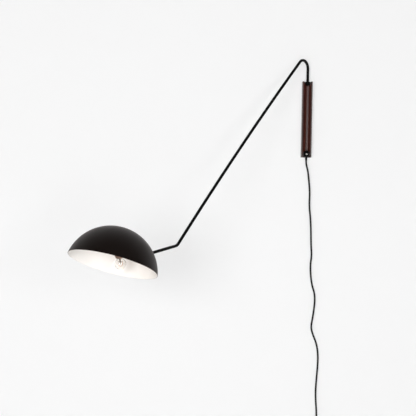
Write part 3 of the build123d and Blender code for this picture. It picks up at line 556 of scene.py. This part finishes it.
def zinc(colours):
    return plated("zinc_plate", colours.steel, 0.3, (1, 1, 9))


def nickel(colours):
    return plated("nickel_plate", colours.nickel, 0.16)


def brass(colours):
    return plated("brass_bare", colours.brass, 0.24, (1, 1, 6))


def bulb_glass(colours):
    """Clear blown glass, faintly wavy."""
    finish = Finish("bulb_glass", {"Transmission Weight": 1.0, "IOR": 1.46})
    waves = finish.noise(finish.where(), 70, 2)
    return finish.varies(
        Base_Color=finish.mix(waves, (0.98, 0.97, 0.95), (1.0, 1.0, 1.0)),
        Roughness=waves * 0.02,
        Normal=finish.bump(waves, 0.0004, 0.2),
    )


def filament(colours):
    """Amber filament: brighter where the coating is thin."""
    finish = Finish("filament_glow", {"Emission Strength": 0.4})
    coating = finish.noise(finish.where(), 500, 3)
    glow = finish.mix(coating, scaled(colours.glow, 0.6), colours.glow)
    return finish.varies(
        Base_Color=finish.mix(coating, (0.16, 0.05, 0.012), (0.3, 0.1, 0.025)),
        Emission_Color=glow,
        Roughness=0.3 + coating * 0.2,
    )


def stem_glass(colours):
    """The bulb's stem and crossbar: smoked, with lead wires showing through."""
    finish = Finish("bulb_stem", {"Specular IOR Level": 0.5})
    streaks = finish.noise(finish.where(stretch=(1, 1, 8)), 900, 3)
    return finish.varies(
        Base_Color=finish.mix(streaks, (0.05, 0.03, 0.018), (0.16, 0.1, 0.06)), Roughness=0.2 + streaks * 0.2
    )


def pale_surface(name, shade, share):
    """A surface of the studio: faint plaster clouds, see-through from behind.

    A share of what the camera, gloss and glass see of it is its own plain colour, so shadows on it stay soft.
    """
    finish = Finish(name, {"Roughness": 0.9, "Specular IOR Level": 0.0})
    clouds = finish.noise(finish.where(), 1.7, 3)
    finish.varies(
        Base_Color=finish.mix(clouds, scaled(shade, 0.998), scaled(shade, 1.002)),
        Normal=finish.bump(finish.noise(finish.where(), 700, 3), 0.0003, 0.1),
    )
    plain = finish.node("Emission", None, {"Color": (*shade, 1), "Strength": 1.0})
    lit = Flow(finish, finish.shader.outputs[0])
    lit = finish.node("MixShader", None, {0: seen_plainly(finish) * share, 1: lit, 2: plain})
    behind = finish.node("NewGeometry", out="Backfacing")
    clear = finish.node("BsdfTransparent")
    shown = finish.node("MixShader", None, {0: behind, 1: lit, 2: clear})
    finish.join(shown, finish.output.inputs["Surface"])
    return finish.material


def seen_plainly(finish):
    """1 for what the camera, gloss and glass see, and 0 for light that falls on other things."""
    camera, gloss, glass = (
        finish.node("LightPath", out=f"Is {kind} Ray") for kind in ("Camera", "Glossy", "Transmission")
    )
    return camera.math("MAXIMUM", camera, camera.math("MAXIMUM", gloss, glass))


MAKERS = {
    maker.__name__: maker
    for maker in (
        walnut, tube_coat, shade_coat, lining, rim_edge, plastic, nylon, holder_plastic,
        jacket, strap, zinc, nickel, brass, bulb_glass, filament, stem_glass,
    )
}
finishes_made = {}


def finish_of(name):
    """The finish of that name, made when it is first asked for."""
    if name not in finishes_made:
        finishes_made[name] = MAKERS[name](bpy.context.scene.lamp_colours)
    return finishes_made[name]


def coat(piece, finishes):
    """Give a piece its finishes, in the order of its slots."""
    for name in finishes.split():
        piece.data.materials.append(finish_of(name))


def dress(piece, body, slot, finishes, *nodes):
    """Give a new piece its finishes, its body, and the nodes that it stands for."""
    coat(piece, finishes)
    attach(piece, body)
    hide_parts(*nodes)
    return piece


# ======== where things are ========


def pivot(sizes, height=0.0):
    """The place on the pivot axis at a height."""
    return Matrix.Translation((0, -sizes.axis_out, height))


def arm_place(sizes):
    """The arm's own plane: X runs outwards from the post, Z up."""
    outwards = Vector((-cos(sizes.swing), -sin(sizes.swing), 0))
    return frame_at((0, -sizes.axis_out, 0), (0, 0, 1), outwards)


def arm_moves(sizes):
    """The tube's moves from the top of the post to the shade's skin."""
    return [
        (sizes.upper_bend, pi - sizes.run_angle, 28),
        (sizes.run_length / sizes.run_bow, sizes.run_bow, 28),
        (sizes.elbow, -sizes.elbow_turn, 12),
        (sizes.end_length,),
    ]


def end_place(sizes, station=0.0):
    """The place on the tube's end piece, in millimetres beyond the shade's skin, with Z along it."""
    return along(arm_place(sizes), sizes.post_top, arm_moves(sizes) + [(station * MM,)])


def neck_moves(sizes):
    """The swan neck's moves from the tube's end to the top of the lamp holder."""
    return [
        (sizes.neck_lead,),
        (sizes.neck_lower_bend, -sizes.neck_rise_angle, 16),
        (sizes.neck_rise,),
        (sizes.neck_upper_bend, pi / 2 + sizes.neck_rise_angle, 28),
        (1 * MM,),
    ]


def holder_place(sizes, station=0.0):
    """The place down the lamp holder, in millimetres below its top, with Z along it."""
    return along(end_place(sizes, TUBE_END), 0.0, neck_moves(sizes) + [(station * MM,)])


def shade_frame(sizes):
    """The dome's centre, its opening's direction, its radius and how far its centre is below the rim."""
    rim = sizes.shade_width / 2
    radius = (rim**2 + sizes.shade_depth**2) / (2 * sizes.shade_depth)
    drop = radius - sizes.shade_depth
    entry = end_place(sizes)
    heading = entry.to_3x3() @ Vector((0, 0, 1))
    outwards = arm_place(sizes).to_3x3() @ Vector((1, 0, 0))
    opening = outwards * sin(sizes.shade_tilt) - Vector((0, 0, cos(sizes.shade_tilt)))
    aim = pi / 2 - sizes.shade_tilt - asin(-heading.z)
    reach = sqrt(radius**2 - (drop * sin(aim)) ** 2) - drop * cos(aim)
    rim_centre = entry.translation + heading * reach
    return rim_centre + opening * drop, opening, radius, drop


# ======== operators ========


class LAMP_OT_camera(Operator):
    """Set the camera where the photograph was taken from"""

    bl_idname = "wall_lamp.camera"
    bl_label = "Camera"

    def execute(self, context):
        deselect()
        bpy.ops.object.camera_add()
        camera = context.object
        camera.name = "lamp_camera"
        camera.matrix_world = Matrix(
            (
                (0.999807, -0.019669, 0, -0.3497),
                (0, 0, -1, -5.061),
                (0.019669, 0.999807, 0, -0.3255),
                (0, 0, 0, 1),
            )
        )
        camera.data.sensor_fit = "HORIZONTAL"
        camera.data.sensor_width = 36
        camera.data.lens = 121.15
        context.scene.camera = camera
        return {"FINISHED"}


CORD_ROUTE = [
    (0, -21, -147), (0, -21, -160), (7.4, -20.5, -185), (12.2, -20, -224), (16, -19, -265), (14.4, -18, -310),
    (20.2, -17, -355), (22.8, -16, -403), (24, -15, -450), (27.5, -14.2, -490), (23, -13.6, -522),
    (25.3, -13, -565), (30.8, -12.6, -598), (41.4, -12.2, -628), (41.6, -12, -665), (36, -11.8, -710),
    (29.2, -11.5, -748), (37.6, -11.2, -776), (50.6, -11, -806), (56.9, -10.8, -840), (57.2, -10.6, -882),
    (53.6, -10.4, -930), (50.8, -10.2, -978), (52.8, -10.1, -1022), (56, -10, -1054), (56, -10, -1090),
]


def laid_cord(name, points, width):
    """A round cord on one smooth spline through a route in millimetres."""
    curve = bpy.data.curves.new(name, "CURVE")
    curve.dimensions = "3D"
    curve.bevel_depth = width / 2
    curve.bevel_resolution = 6
    curve.resolution_u = 8
    curve.use_fill_caps = True
    spline = curve.splines.new("NURBS")
    spline.points.add(len(points) - 1)
    for point, place in zip(spline.points, points):
        point.co = (*(part * MM for part in place), 1)
    spline.order_u = 3
    spline.use_endpoint_u = True
    cord = bpy.data.objects.new(name, curve)
    bpy.context.scene.collection.objects.link(cord)
    return cord


class LAMP_OT_cord(Operator):
    """Lay the cord: down the wall to its switch, then into the coil put away and up to its plug"""

    bl_idname = "wall_lamp.cord"
    bl_label = "Cord and coil"

    def execute(self, context):
        sizes = context.scene.lamp_sizes
        width = sizes.cord_width
        hanging = laid_cord("cord_down_wall", CORD_ROUTE, width)
        dress(hanging, "wall_bar", "cord_black", "jacket", "cord_hanging")
        coil = laid_cord("cord_put_away", self.coil_route(sizes.coil_radius / MM), width)
        dress(coil, "wall_bar", "cord_black", "jacket", "cord_coil")
        return {"FINISHED"}

    def coil_route(self, outer):
        """Inwards in the back layer, over to the front layer, and outwards again, all in millimetres."""
        switch_x, half_pitch, back, front = 56, 3.55, -10, -17.1
        centre_x, centre_z = switch_x - outer, -1189
        steps = 9  # points to a half turn
        reach = 1 / cos(pi / (2 * steps))
        turns = [(outer - k * half_pitch, (k % 2) * half_pitch, 180 * (k % 2), back, back) for k in range(5)]
        turns.append((outer - 5 * half_pitch, half_pitch, 180, back, front))
        turns += [
            (outer - (4 - k) * half_pitch, (2 - k % 2) * half_pitch, 180 * (k % 2), front, front) for k in range(5)
        ]
        route = [(switch_x, back, -1136), (switch_x, back, -1162)]
        for radius, shift, start, layer_in, layer_out in turns:
            for step in range(steps):
                share = (step + 0.5) / steps
                angle = radians(start + 180 * share)
                layer = layer_in + (layer_out - layer_in) * share
                across, down = radius * reach * cos(angle), radius * reach * sin(angle)
                route.append((centre_x - shift + across, layer, centre_z - down))
        end = centre_x - 2 * half_pitch - outer
        return route + [(end, front, centre_z + 8), (end, front, centre_z + 17.5)]


class LAMP_OT_walnut_bar(Operator):
    """Shape the walnut bar: half round in front, arched notches, stepped bore and hanger recesses"""

    bl_idname = "wall_lamp.walnut_bar"
    bl_label = "Walnut bar"

    def execute(self, context):
        sizes = context.scene.lamp_sizes
        half, tall = sizes.bar_width / 2, sizes.bar_height
        bar = arched("bar_of_walnut", half, sizes.axis_out, tall, pivot(sizes, -tall / 2), chamfer=1.2 * MM)
        switch_to("EDIT")
        choose(
            bar,
            "EDGE",
            lambda e: abs(e.verts[0].co.z - e.verts[1].co.z) < 1e-6 and min(v.co.y for v in e.verts) < -1.3 * MM,
        )
        bpy.ops.mesh.bevel(offset=1.0 * MM, segments=4, affect="EDGES")
        switch_to("OBJECT")
        notch_back = -8.5 * MM
        plate_height = 90 * MM  # middle of the bar to the middle of a hanger plate
        top, bottom = tall / 2, -tall / 2
        cutters = [
            arched("top_notch", 13 * MM, 20 * MM, 50 * MM,
                   frame_at((0, notch_back, top - 4 * MM), (0, -1, 0), (1, 0, 0)), facets=80),
            arched("bottom_notch", 14 * MM, 20 * MM, 50 * MM,
                   frame_at((0, notch_back, bottom + 11 * MM), (0, -1, 0), (-1, 0, 0)), facets=80),
            turned("stepped_bore", [
                (10, -140), (10, -109), (6.52, -109), (6.52, -88.7), (6, -88.7),
                (6, 96.7), (6.52, 96.7), (6.52, 117), (8.8, 117), (8.8, 140),
            ], pivot(sizes), facets=48),
        ]
        for height in (plate_height, -plate_height):
            cutters.append(slab("plate_recess", (22.4 * MM, 46.4 * MM, 4 * MM), 3 * MM,
                                frame_at((0, 2 * MM, height), (0, -1, 0), (1, 0, 0))))
            cutters.append(slab("head_pocket", (12 * MM, 22 * MM, 9 * MM), 5.98 * MM,
                                frame_at((0, 0, height + 5 * MM), (0, -1, 0), (1, 0, 0))))
        cut(bar, *cutters)
        settle(bar, angle=28)
        dress(bar, "wall_bar", "walnut", "walnut", "walnut_bar")
        return {"FINISHED"}


class LAMP_OT_arm_tube(Operator):
    """Draw the tube: up the post, round the upper bend, down the bowed run, and round the elbow to the shade"""

    bl_idname = "wall_lamp.arm_tube"
    bl_label = "Bent tube"

    def execute(self, context):
        sizes = context.scene.lamp_sizes
        moves = [(sizes.post_bottom + sizes.post_top,), *arm_moves(sizes), (TUBE_END * MM,)]
        tube = piped("arm_pipe", sizes.tube_width / 2, -sizes.post_bottom, moves, arm_place(sizes), 40)
        modify(tube, "SOLIDIFY", thickness=TUBE_WALL, offset=-1)
        settle(tube)
        dress(tube, "arm", "black_steel", "tube_coat", "arm_tube")
        return {"FINISHED"}


class LAMP_OT_collar_and_grip(Operator):
    """Turn the collar in the top notch, and the grip, its screw and the relief in the bottom one"""

    bl_idname = "wall_lamp.collar_and_grip"
    bl_label = "Collar and grip"

    def execute(self, context):
        sizes = context.scene.lamp_sizes
        collar = turned(
            "collar",
            softened([(ON_TUBE, 120.5), (7, 120.5), (9, 132.5), (9, 135.5), (ON_TUBE, 135.5)], 0.8, ring=True),
            pivot(sizes), 80, ring=True,
        )
        hole = turned("collar_hole", [(1.54, 5.5), (1.54, 12)],
                      frame_at((0, -sizes.axis_out, 129.5 * MM), (1, 0, 0), (0, 1, 0)), 24)
        cut(collar, hole)
        settle(collar)
        dress(collar, "arm", "black_steel", "tube_coat", "top_collar")

        grip = turned(
            "grip",
            softened(
                [(4.55, -133.6), (9, -133.6), (9, -112.6), (ON_TUBE, -112.6), (ON_TUBE, -127), (4.55, -127)],
                1.1, ring=True,
            ),
            pivot(sizes), 80, ring=True,
        )
        side = radians(12)
        ahead = Vector((sin(side), -cos(side), 0))
        screw_place = frame_at((0, -sizes.axis_out, -124.5 * MM), ahead, (cos(side), sin(side), 0))
        cut(
            grip,
            turned("spot_face", [(3.7, 8.27), (3.7, 12)], screw_place, 40),
            turned("screw_hole", [(2.02, 4), (2.02, 9)], screw_place, 24),
        )
        settle(grip)
        dress(grip, "arm", "black_steel", "tube_coat", "cord_grip")

        screw = turned(
            "grip_slotted_screw",
            [(2, 5.05), (2, 8.27)] + softened([(2, 8.27), (3.5, 8.27), (3.5, 9.6), (2.6, 10.27), (0.01, 10.27)], 0.5),
            screw_place, 48,
        )
        slot = slab("screw_slot", (8 * MM, 0.9 * MM, 2 * MM), 0.05 * MM, Matrix.Identity(4), 1)
        slot.data.transform(screw_place @ Matrix.Translation((0, 0, 9.47 * MM)))
        cut(screw, slot)
        settle(screw)
        dress(screw, "arm", "nickel", "nickel", "grip_screw")

        neck, tip, shoulder, foot, bore = 4.5, 3.8, -133.6, -147, 3.2
        grooves = []
        for step in range(3):
            level = -136.4 - 3.3 * step
            outer = neck - (neck - tip) * (shoulder - level) / (shoulder - foot)
            inner = outer - 0.45
            grooves += [(outer, level), (inner, level - 0.35), (inner, level - 1.15), (outer - 0.08, level - 1.5)]
        outline = [(bore, -127), (neck, -127), (neck, shoulder), *grooves, (tip, foot), (bore, foot)]
        relief = turned("relief", softened(outline, 0.35, ring=True, steps=2), pivot(sizes), 56, ring=True)
        dress(relief, "arm", "cord_black", "jacket", "cord_relief")
        return {"FINISHED"}


class LAMP_OT_shade(Operator):
    """Spin the dome: cut from a ball at its rim, given its wall, and pierced for the tube"""

    bl_idname = "wall_lamp.shade"
    bl_label = "Shade"

    def execute(self, context):
        sizes = context.scene.lamp_sizes
        centre, opening, radius, drop = shade_frame(sizes)
        deselect()
        bpy.ops.mesh.primitive_uv_sphere_add(segments=144, ring_count=96, radius=radius)
        dome = started("shade_dome")
        bpy.ops.mesh.bisect(plane_co=(0, 0, drop), plane_no=(0, 0, 1), clear_inner=True)
        close_up(dome)
        coat(dome, "shade_coat lining rim_edge")
        # The rim faces take the third finish, a warm brown painted in as the bulb's light on the edge
        modify(dome, "SOLIDIFY", thickness=sizes.shade_wall, offset=-1, material_offset=1, material_offset_rim=2)
        modify(dome, "BEVEL", width=0.3 * MM, segments=2, limit_method="ANGLE", angle_limit=radians(60))
        settle(dome, frame_at(centre, -opening, (0, 0, 1)))
        cut(dome, turned("tube_hole", [(5.4, -12), (5.4, 14)], end_place(sizes), 48))
        settle(dome, angle=40)
        dress(dome, "shade", "shade_black", "", "shade_shell")
        return {"FINISHED"}


class LAMP_OT_swan_neck(Operator):
    """Turn the stop ring and the coupling, and bend the swan neck that carries the lamp holder"""

    bl_idname = "wall_lamp.swan_neck"
    bl_label = "Swan neck"

    def execute(self, context):
        sizes = context.scene.lamp_sizes
        stop = turned(
            "stop_collar",
            softened([(ON_TUBE, -11), (6.9, -11), (7.5, -10.3), (7.5, -6), (ON_TUBE, -6)], 0.3, ring=True),
            end_place(sizes), 64, ring=True,
        )
        dress(stop, "arm", "black_steel", "tube_coat", "stop_ring")
        coupling = turned(
            "coupling",
            softened(
                [
                    (ON_TUBE, 12.42), (7, 12.42), (7, 19.8), (6.5, 20.2), (6.5, 20.7), (7, 21.1),
                    (7, 28.4), (ON_TUBE, 28.4),
                ],
                0.7, ring=True,
            ),
            end_place(sizes), 64, ring=True,
        )
        dress(coupling, "arm", "black_steel", "tube_coat", "neck_coupling")
        neck = piped(
            "swan_pipe", sizes.tube_width / 2, 0.0, neck_moves(sizes) + [(10 * MM,)], end_place(sizes, TUBE_END), 40
        )
        modify(neck, "SOLIDIFY", thickness=TUBE_WALL, offset=-1)
        settle(neck)
        dress(neck, "arm", "black_steel", "tube_coat", "holder_neck")
        return {"FINISHED"}


class LAMP_OT_holder(Operator):
    """Turn the lamp holder and its fluted ring"""

    bl_idname = "wall_lamp.holder"
    bl_label = "Lamp holder"

    def execute(self, context):
        sizes = context.scene.lamp_sizes
        mouth = sizes.holder_length / MM
        holder = turned(
            "holder_body",
            softened(
                [
                    (ON_TUBE, 0), (8, 0), (8, 12), (13, 18), (13, 26), (12.4, 26.5), (12.4, 27.6), (13, 28.1),
                    (13, mouth), (7.2, mouth), (7.2, mouth - 27), (0.5, mouth - 27), (0.5, 10), (ON_TUBE, 10),
                ],
                0.7, ring=True,
            ),
            holder_place(sizes), 72, ring=True,
        )
        dress(holder, "arm", "holder_brown", "holder_plastic", "lamp_holder")
        ring = turned(
            "holder_fluted_ring",
            softened([(13.02, mouth - 15), (15, mouth - 15), (15, mouth - 6), (13.02, mouth - 6)], 0.5, ring=True),
            Matrix.Identity(4), 96, ring=True,
        )
        pick(ring)
        switch_to("EDIT")
        choose(
            ring, "VERT",
            lambda v: v.co.xy.length > 14.9 * MM
            and round(degrees(v.co.xy.angle_signed(Vector((1, 0)))) / 3.75) % 2
            and (mouth - 14.2) * MM < v.co.z < (mouth - 6.8) * MM,
        )
        resize((0.972, 0.972, 1), (0, 0, 0))
        switch_to("OBJECT")
        settle(ring, holder_place(sizes), 22)
        dress(ring, "arm", "holder_brown", "holder_plastic", "holder_ring")
        return {"FINISHED"}


class LAMP_OT_bulb(Operator):
    """Turn the bulb's threaded cap, blow its globe and bend its filament"""

    bl_idname = "wall_lamp.bulb"
    bl_label = "Bulb"

    def execute(self, context):
        sizes = context.scene.lamp_sizes
        edge = sizes.holder_length / MM + 0.5
        place = holder_place(sizes, edge)
        thread = []
        for step in range(4):
            level = -15.5 + 3.4 * step
            thread += [(6.9, level), (6.9, level + 0.5), (6.25, level + 1.5), (6.25, level + 2.1)]
        cap = turned(
            "bulb_screw_cap",
            softened([(2.5, -21), (2.5, -20.6), (4.9, -19), (6.5, -17), *thread, (6.9, -1.5), (6.9, 0), (1, 0)], 0.4),
            place, 64,
        )
        dress(cap, "arm", "nickel", "nickel", "bulb_cap")

        globe, middle = sizes.globe_width / 2 / MM, 18.5
        neck = asin(7.5 / globe)
        outline = [(7.5, 0), (7.5, middle - globe * cos(neck))]
        for step in range(1, 25):
            angle = neck + (pi - neck) * step / 24
            outline.append((globe * sin(angle) if step < 24 else 0, middle - globe * cos(angle)))
        glass = turned("bulb_globe", outline, place, 72)
        switch_to("EDIT")
        choose(glass, "FACE", lambda f: len(f.verts) > 4)
        bpy.ops.mesh.delete(type="FACE")
        switch_to("OBJECT")
        modify(glass, "SOLIDIFY", thickness=0.8 * MM, offset=-1)
        settle(glass)
        dress(glass, "arm", "clear_glass", "bulb_glass", "bulb_glass")

        down = place.to_3x3() @ Vector((0, 0, 1))
        across = Vector((0, -1, 0)).cross(down)
        foot = frame_at(place @ Vector((0, 0, 11.5 * MM)), down, across)
        loop = 6.5 * MM
        wire = piped(
            "bulb_loop", 0.7 * MM, 0.0, [(8 * MM,), (loop, pi, 20), (8 * MM,)],
            foot @ Matrix.Translation((-loop, 0, 0)), 16,
        )
        switch_to("EDIT")
        choose(wire, "EDGE", lambda e: e.is_boundary)
        bpy.ops.mesh.edge_face_add()
        switch_to("OBJECT")
        stem = turned(
            "bulb_stem",
            softened([(5.5, 0.05), (2.4, 5.2), (1.9, 7.2), (1.9, 12.6), (1.4, 13.6), (1.4, 18.6), (0.3, 19.5)], 0.9),
            place, 32,
        )
        bar = slab("bulb_crossbar", (14.2 * MM, 1.3 * MM, 1.2 * MM), 0.3 * MM,
                   foot @ Matrix.Translation((0, 0, -0.6 * MM)), 2)
        coat(stem, "stem_glass")
        coat(bar, "stem_glass")
        coat(wire, "filament")
        deselect()
        for part in (stem, bar, wire):
            part.select_set(True)
        bpy.context.view_layer.objects.active = wire
        bpy.ops.object.join()
        dress(wire, "arm", "amber_filament", "", "bulb_filament")
        return {"FINISHED"}


KEPT_NODES = {
    "zinc": ("hanger_plates", "hanger_screws", "lock_washer", "lock_nut", "switch_screws"),
    "nylon": ("top_bush", "bottom_bush", "thrust_washer", "lower_washer", "outer_saddle", "inner_saddle"),
    "tube_coat": ("collar_screw",),
    "jacket": ("lead_in_tube", "plug_relief"),
    "plastic": ("switch_front", "switch_back", "switch_rocker", "plug_body"),
    "strap": ("coil_tie",),
    "brass": ("switch_terminals", "holder_contact", "plug_blades"),
}


class LAMP_OT_kept_nodes(Operator):
    """Finish the fittings whose solids are already the right shape"""

    bl_idname = "wall_lamp.kept_nodes"
    bl_label = "Small fittings"

    def execute(self, context):
        for finish, names in KEPT_NODES.items():
            for name in names:
                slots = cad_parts[name].data.materials
                for index in range(len(slots)):
                    slots[index] = finish_of(finish)
        return {"FINISHED"}


def studio_world(colours):
    """Dim below and all round, brighter above, and the wall's own colour where the camera sees past the stage."""
    world = bpy.data.worlds.new("studio")
    world.use_nodes = True
    tree = world.node_tree
    room = tree.nodes["Background"]
    room.inputs["Color"].default_value = (1, 1, 1, 1)
    room.inputs["Strength"].default_value = 0.06
    ceiling, pale, facing, parts, height, path, lit, shown = (
        tree.nodes.new("ShaderNode" + kind)
        for kind in (
            "Background", "Background", "TexCoord", "SeparateXYZ", "MapRange", "LightPath", "MixShader", "MixShader",
        )
    )
    ceiling.inputs["Strength"].default_value = 0.4
    pale.inputs["Color"].default_value = (*colours.wall, 1)
    height.interpolation_type = "SMOOTHSTEP"
    height.inputs["From Min"].default_value = 0.15
    height.inputs["From Max"].default_value = 0.9
    for start, end in (
        (facing.outputs["Generated"], parts.inputs[0]),
        (parts.outputs["Z"], height.inputs["Value"]),
        (height.outputs[0], lit.inputs[0]),
        (room.outputs[0], lit.inputs[1]),
        (ceiling.outputs[0], lit.inputs[2]),
        (path.outputs["Is Camera Ray"], shown.inputs[0]),
        (lit.outputs[0], shown.inputs[1]),
        (pale.outputs[0], shown.inputs[2]),
        (shown.outputs[0], tree.nodes["World Output"].inputs["Surface"]),
    ):
        tree.links.new(start, end)
    return world


# name, place, size, power, side that its width runs along, and whether gloss mirrors it
LAMPS = (
    ("key_left", (-1.55, -5.0, -0.3), (1.4, 1.4), 115, (1, 0, 0), False),
    ("fill_right", (0.65, -5.0, -0.72), (2.4, 0.7), 52, (0.62, 0, 0.78), False),
    ("front_panel", (0.43, -6.2, 0.38), (5.0, 0.5), 44, (1, 0, 0), True),
)
LAMPS_AIM = Vector((-0.3, 0, -0.3))


class LAMP_OT_stage(Operator):
    """Set up the pale wall and floor, the soft lights and the bulb's own light"""

    bl_idname = "wall_lamp.stage"
    bl_label = "Wall, floor and lights"

    def execute(self, context):
        colours = context.scene.lamp_colours
        sizes = context.scene.lamp_sizes
        for name, shade, centre, facing, size in (
            ("stage_wall", colours.wall, (0, 0, 0.9), (0, -1, 0), (16, 5)),
            ("stage_floor", colours.floor, (0, -4, -1.6), (0, 0, 1), (16, 8)),
        ):
            deselect()
            bpy.ops.mesh.primitive_plane_add(size=1)
            plane = started(name)
            resize((size[0], size[1], 1), (0, 0, 0))
            switch_to("OBJECT")
            settle(plane, frame_at(centre, facing, (1, 0, 0)))
            plane.data.materials.append(pale_surface(name, shade, STAGE_SHARE))

        context.scene.world = studio_world(colours)
        self.add_lamps(LAMPS)
        self.add_glow(sizes)
        return {"FINISHED"}

    def add_lamps(self, lamps):
        for name, place, size, power, side, glossy in lamps:
            deselect()
            bpy.ops.object.light_add(type="AREA")
            light = bpy.context.object
            light.name = name
            light.data.shape = "RECTANGLE"
            light.data.size, light.data.size_y = size
            light.data.energy = power
            light.visible_camera = False
            light.visible_glossy = glossy
            light.matrix_world = frame_at(place, Vector(place) - LAMPS_AIM, side)

    def add_glow(self, sizes):
        """The bulb's own light, which stays with the bulb when the arm swings."""
        deselect()
        bpy.ops.object.light_add(type="POINT")
        glow = bpy.context.object
        glow.name = "bulb_light"
        glow.matrix_world = holder_place(sizes, 90)
        glow.data.energy = 0.03
        glow.data.color = (1.0, 0.45, 0.12)
        glow.data.shadow_soft_size = 0.012
        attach(glow, "arm")


OPERATORS = (
    LAMP_OT_camera,
    LAMP_OT_cord,
    LAMP_OT_walnut_bar,
    LAMP_OT_arm_tube,
    LAMP_OT_collar_and_grip,
    LAMP_OT_shade,
    LAMP_OT_swan_neck,
    LAMP_OT_holder,
    LAMP_OT_bulb,
    LAMP_OT_kept_nodes,
    LAMP_OT_stage,
)


class LAMP_PT_panel(Panel):
    """Lists the lamp's pieces"""

    bl_label = "Wall lamp"
    bl_idname = "LAMP_PT_panel"
    bl_space_type = "VIEW_3D"
    bl_region_type = "UI"
    bl_category = "Wall lamp"

    def draw(self, context):
        for operator in OPERATORS:
            self.layout.operator(operator.bl_idname)


CLASSES = (LampSizes, LampColours, *OPERATORS, LAMP_PT_panel)


def register():
    for kind in CLASSES:
        bpy.utils.register_class(kind)
    bpy.types.Scene.lamp_sizes = PointerProperty(type=LampSizes)
    bpy.types.Scene.lamp_colours = PointerProperty(type=LampColours)


def unregister():
    del bpy.types.Scene.lamp_colours
    del bpy.types.Scene.lamp_sizes
    for kind in reversed(CLASSES):
        bpy.utils.unregister_class(kind)


def main():
    register()
    bpy.context.scene.view_settings.view_transform = "Standard"
    for operator in OPERATORS:
        group, name = operator.bl_idname.split(".")
        getattr(getattr(bpy.ops, group), name)()


if __name__ == "__main__":
    main()
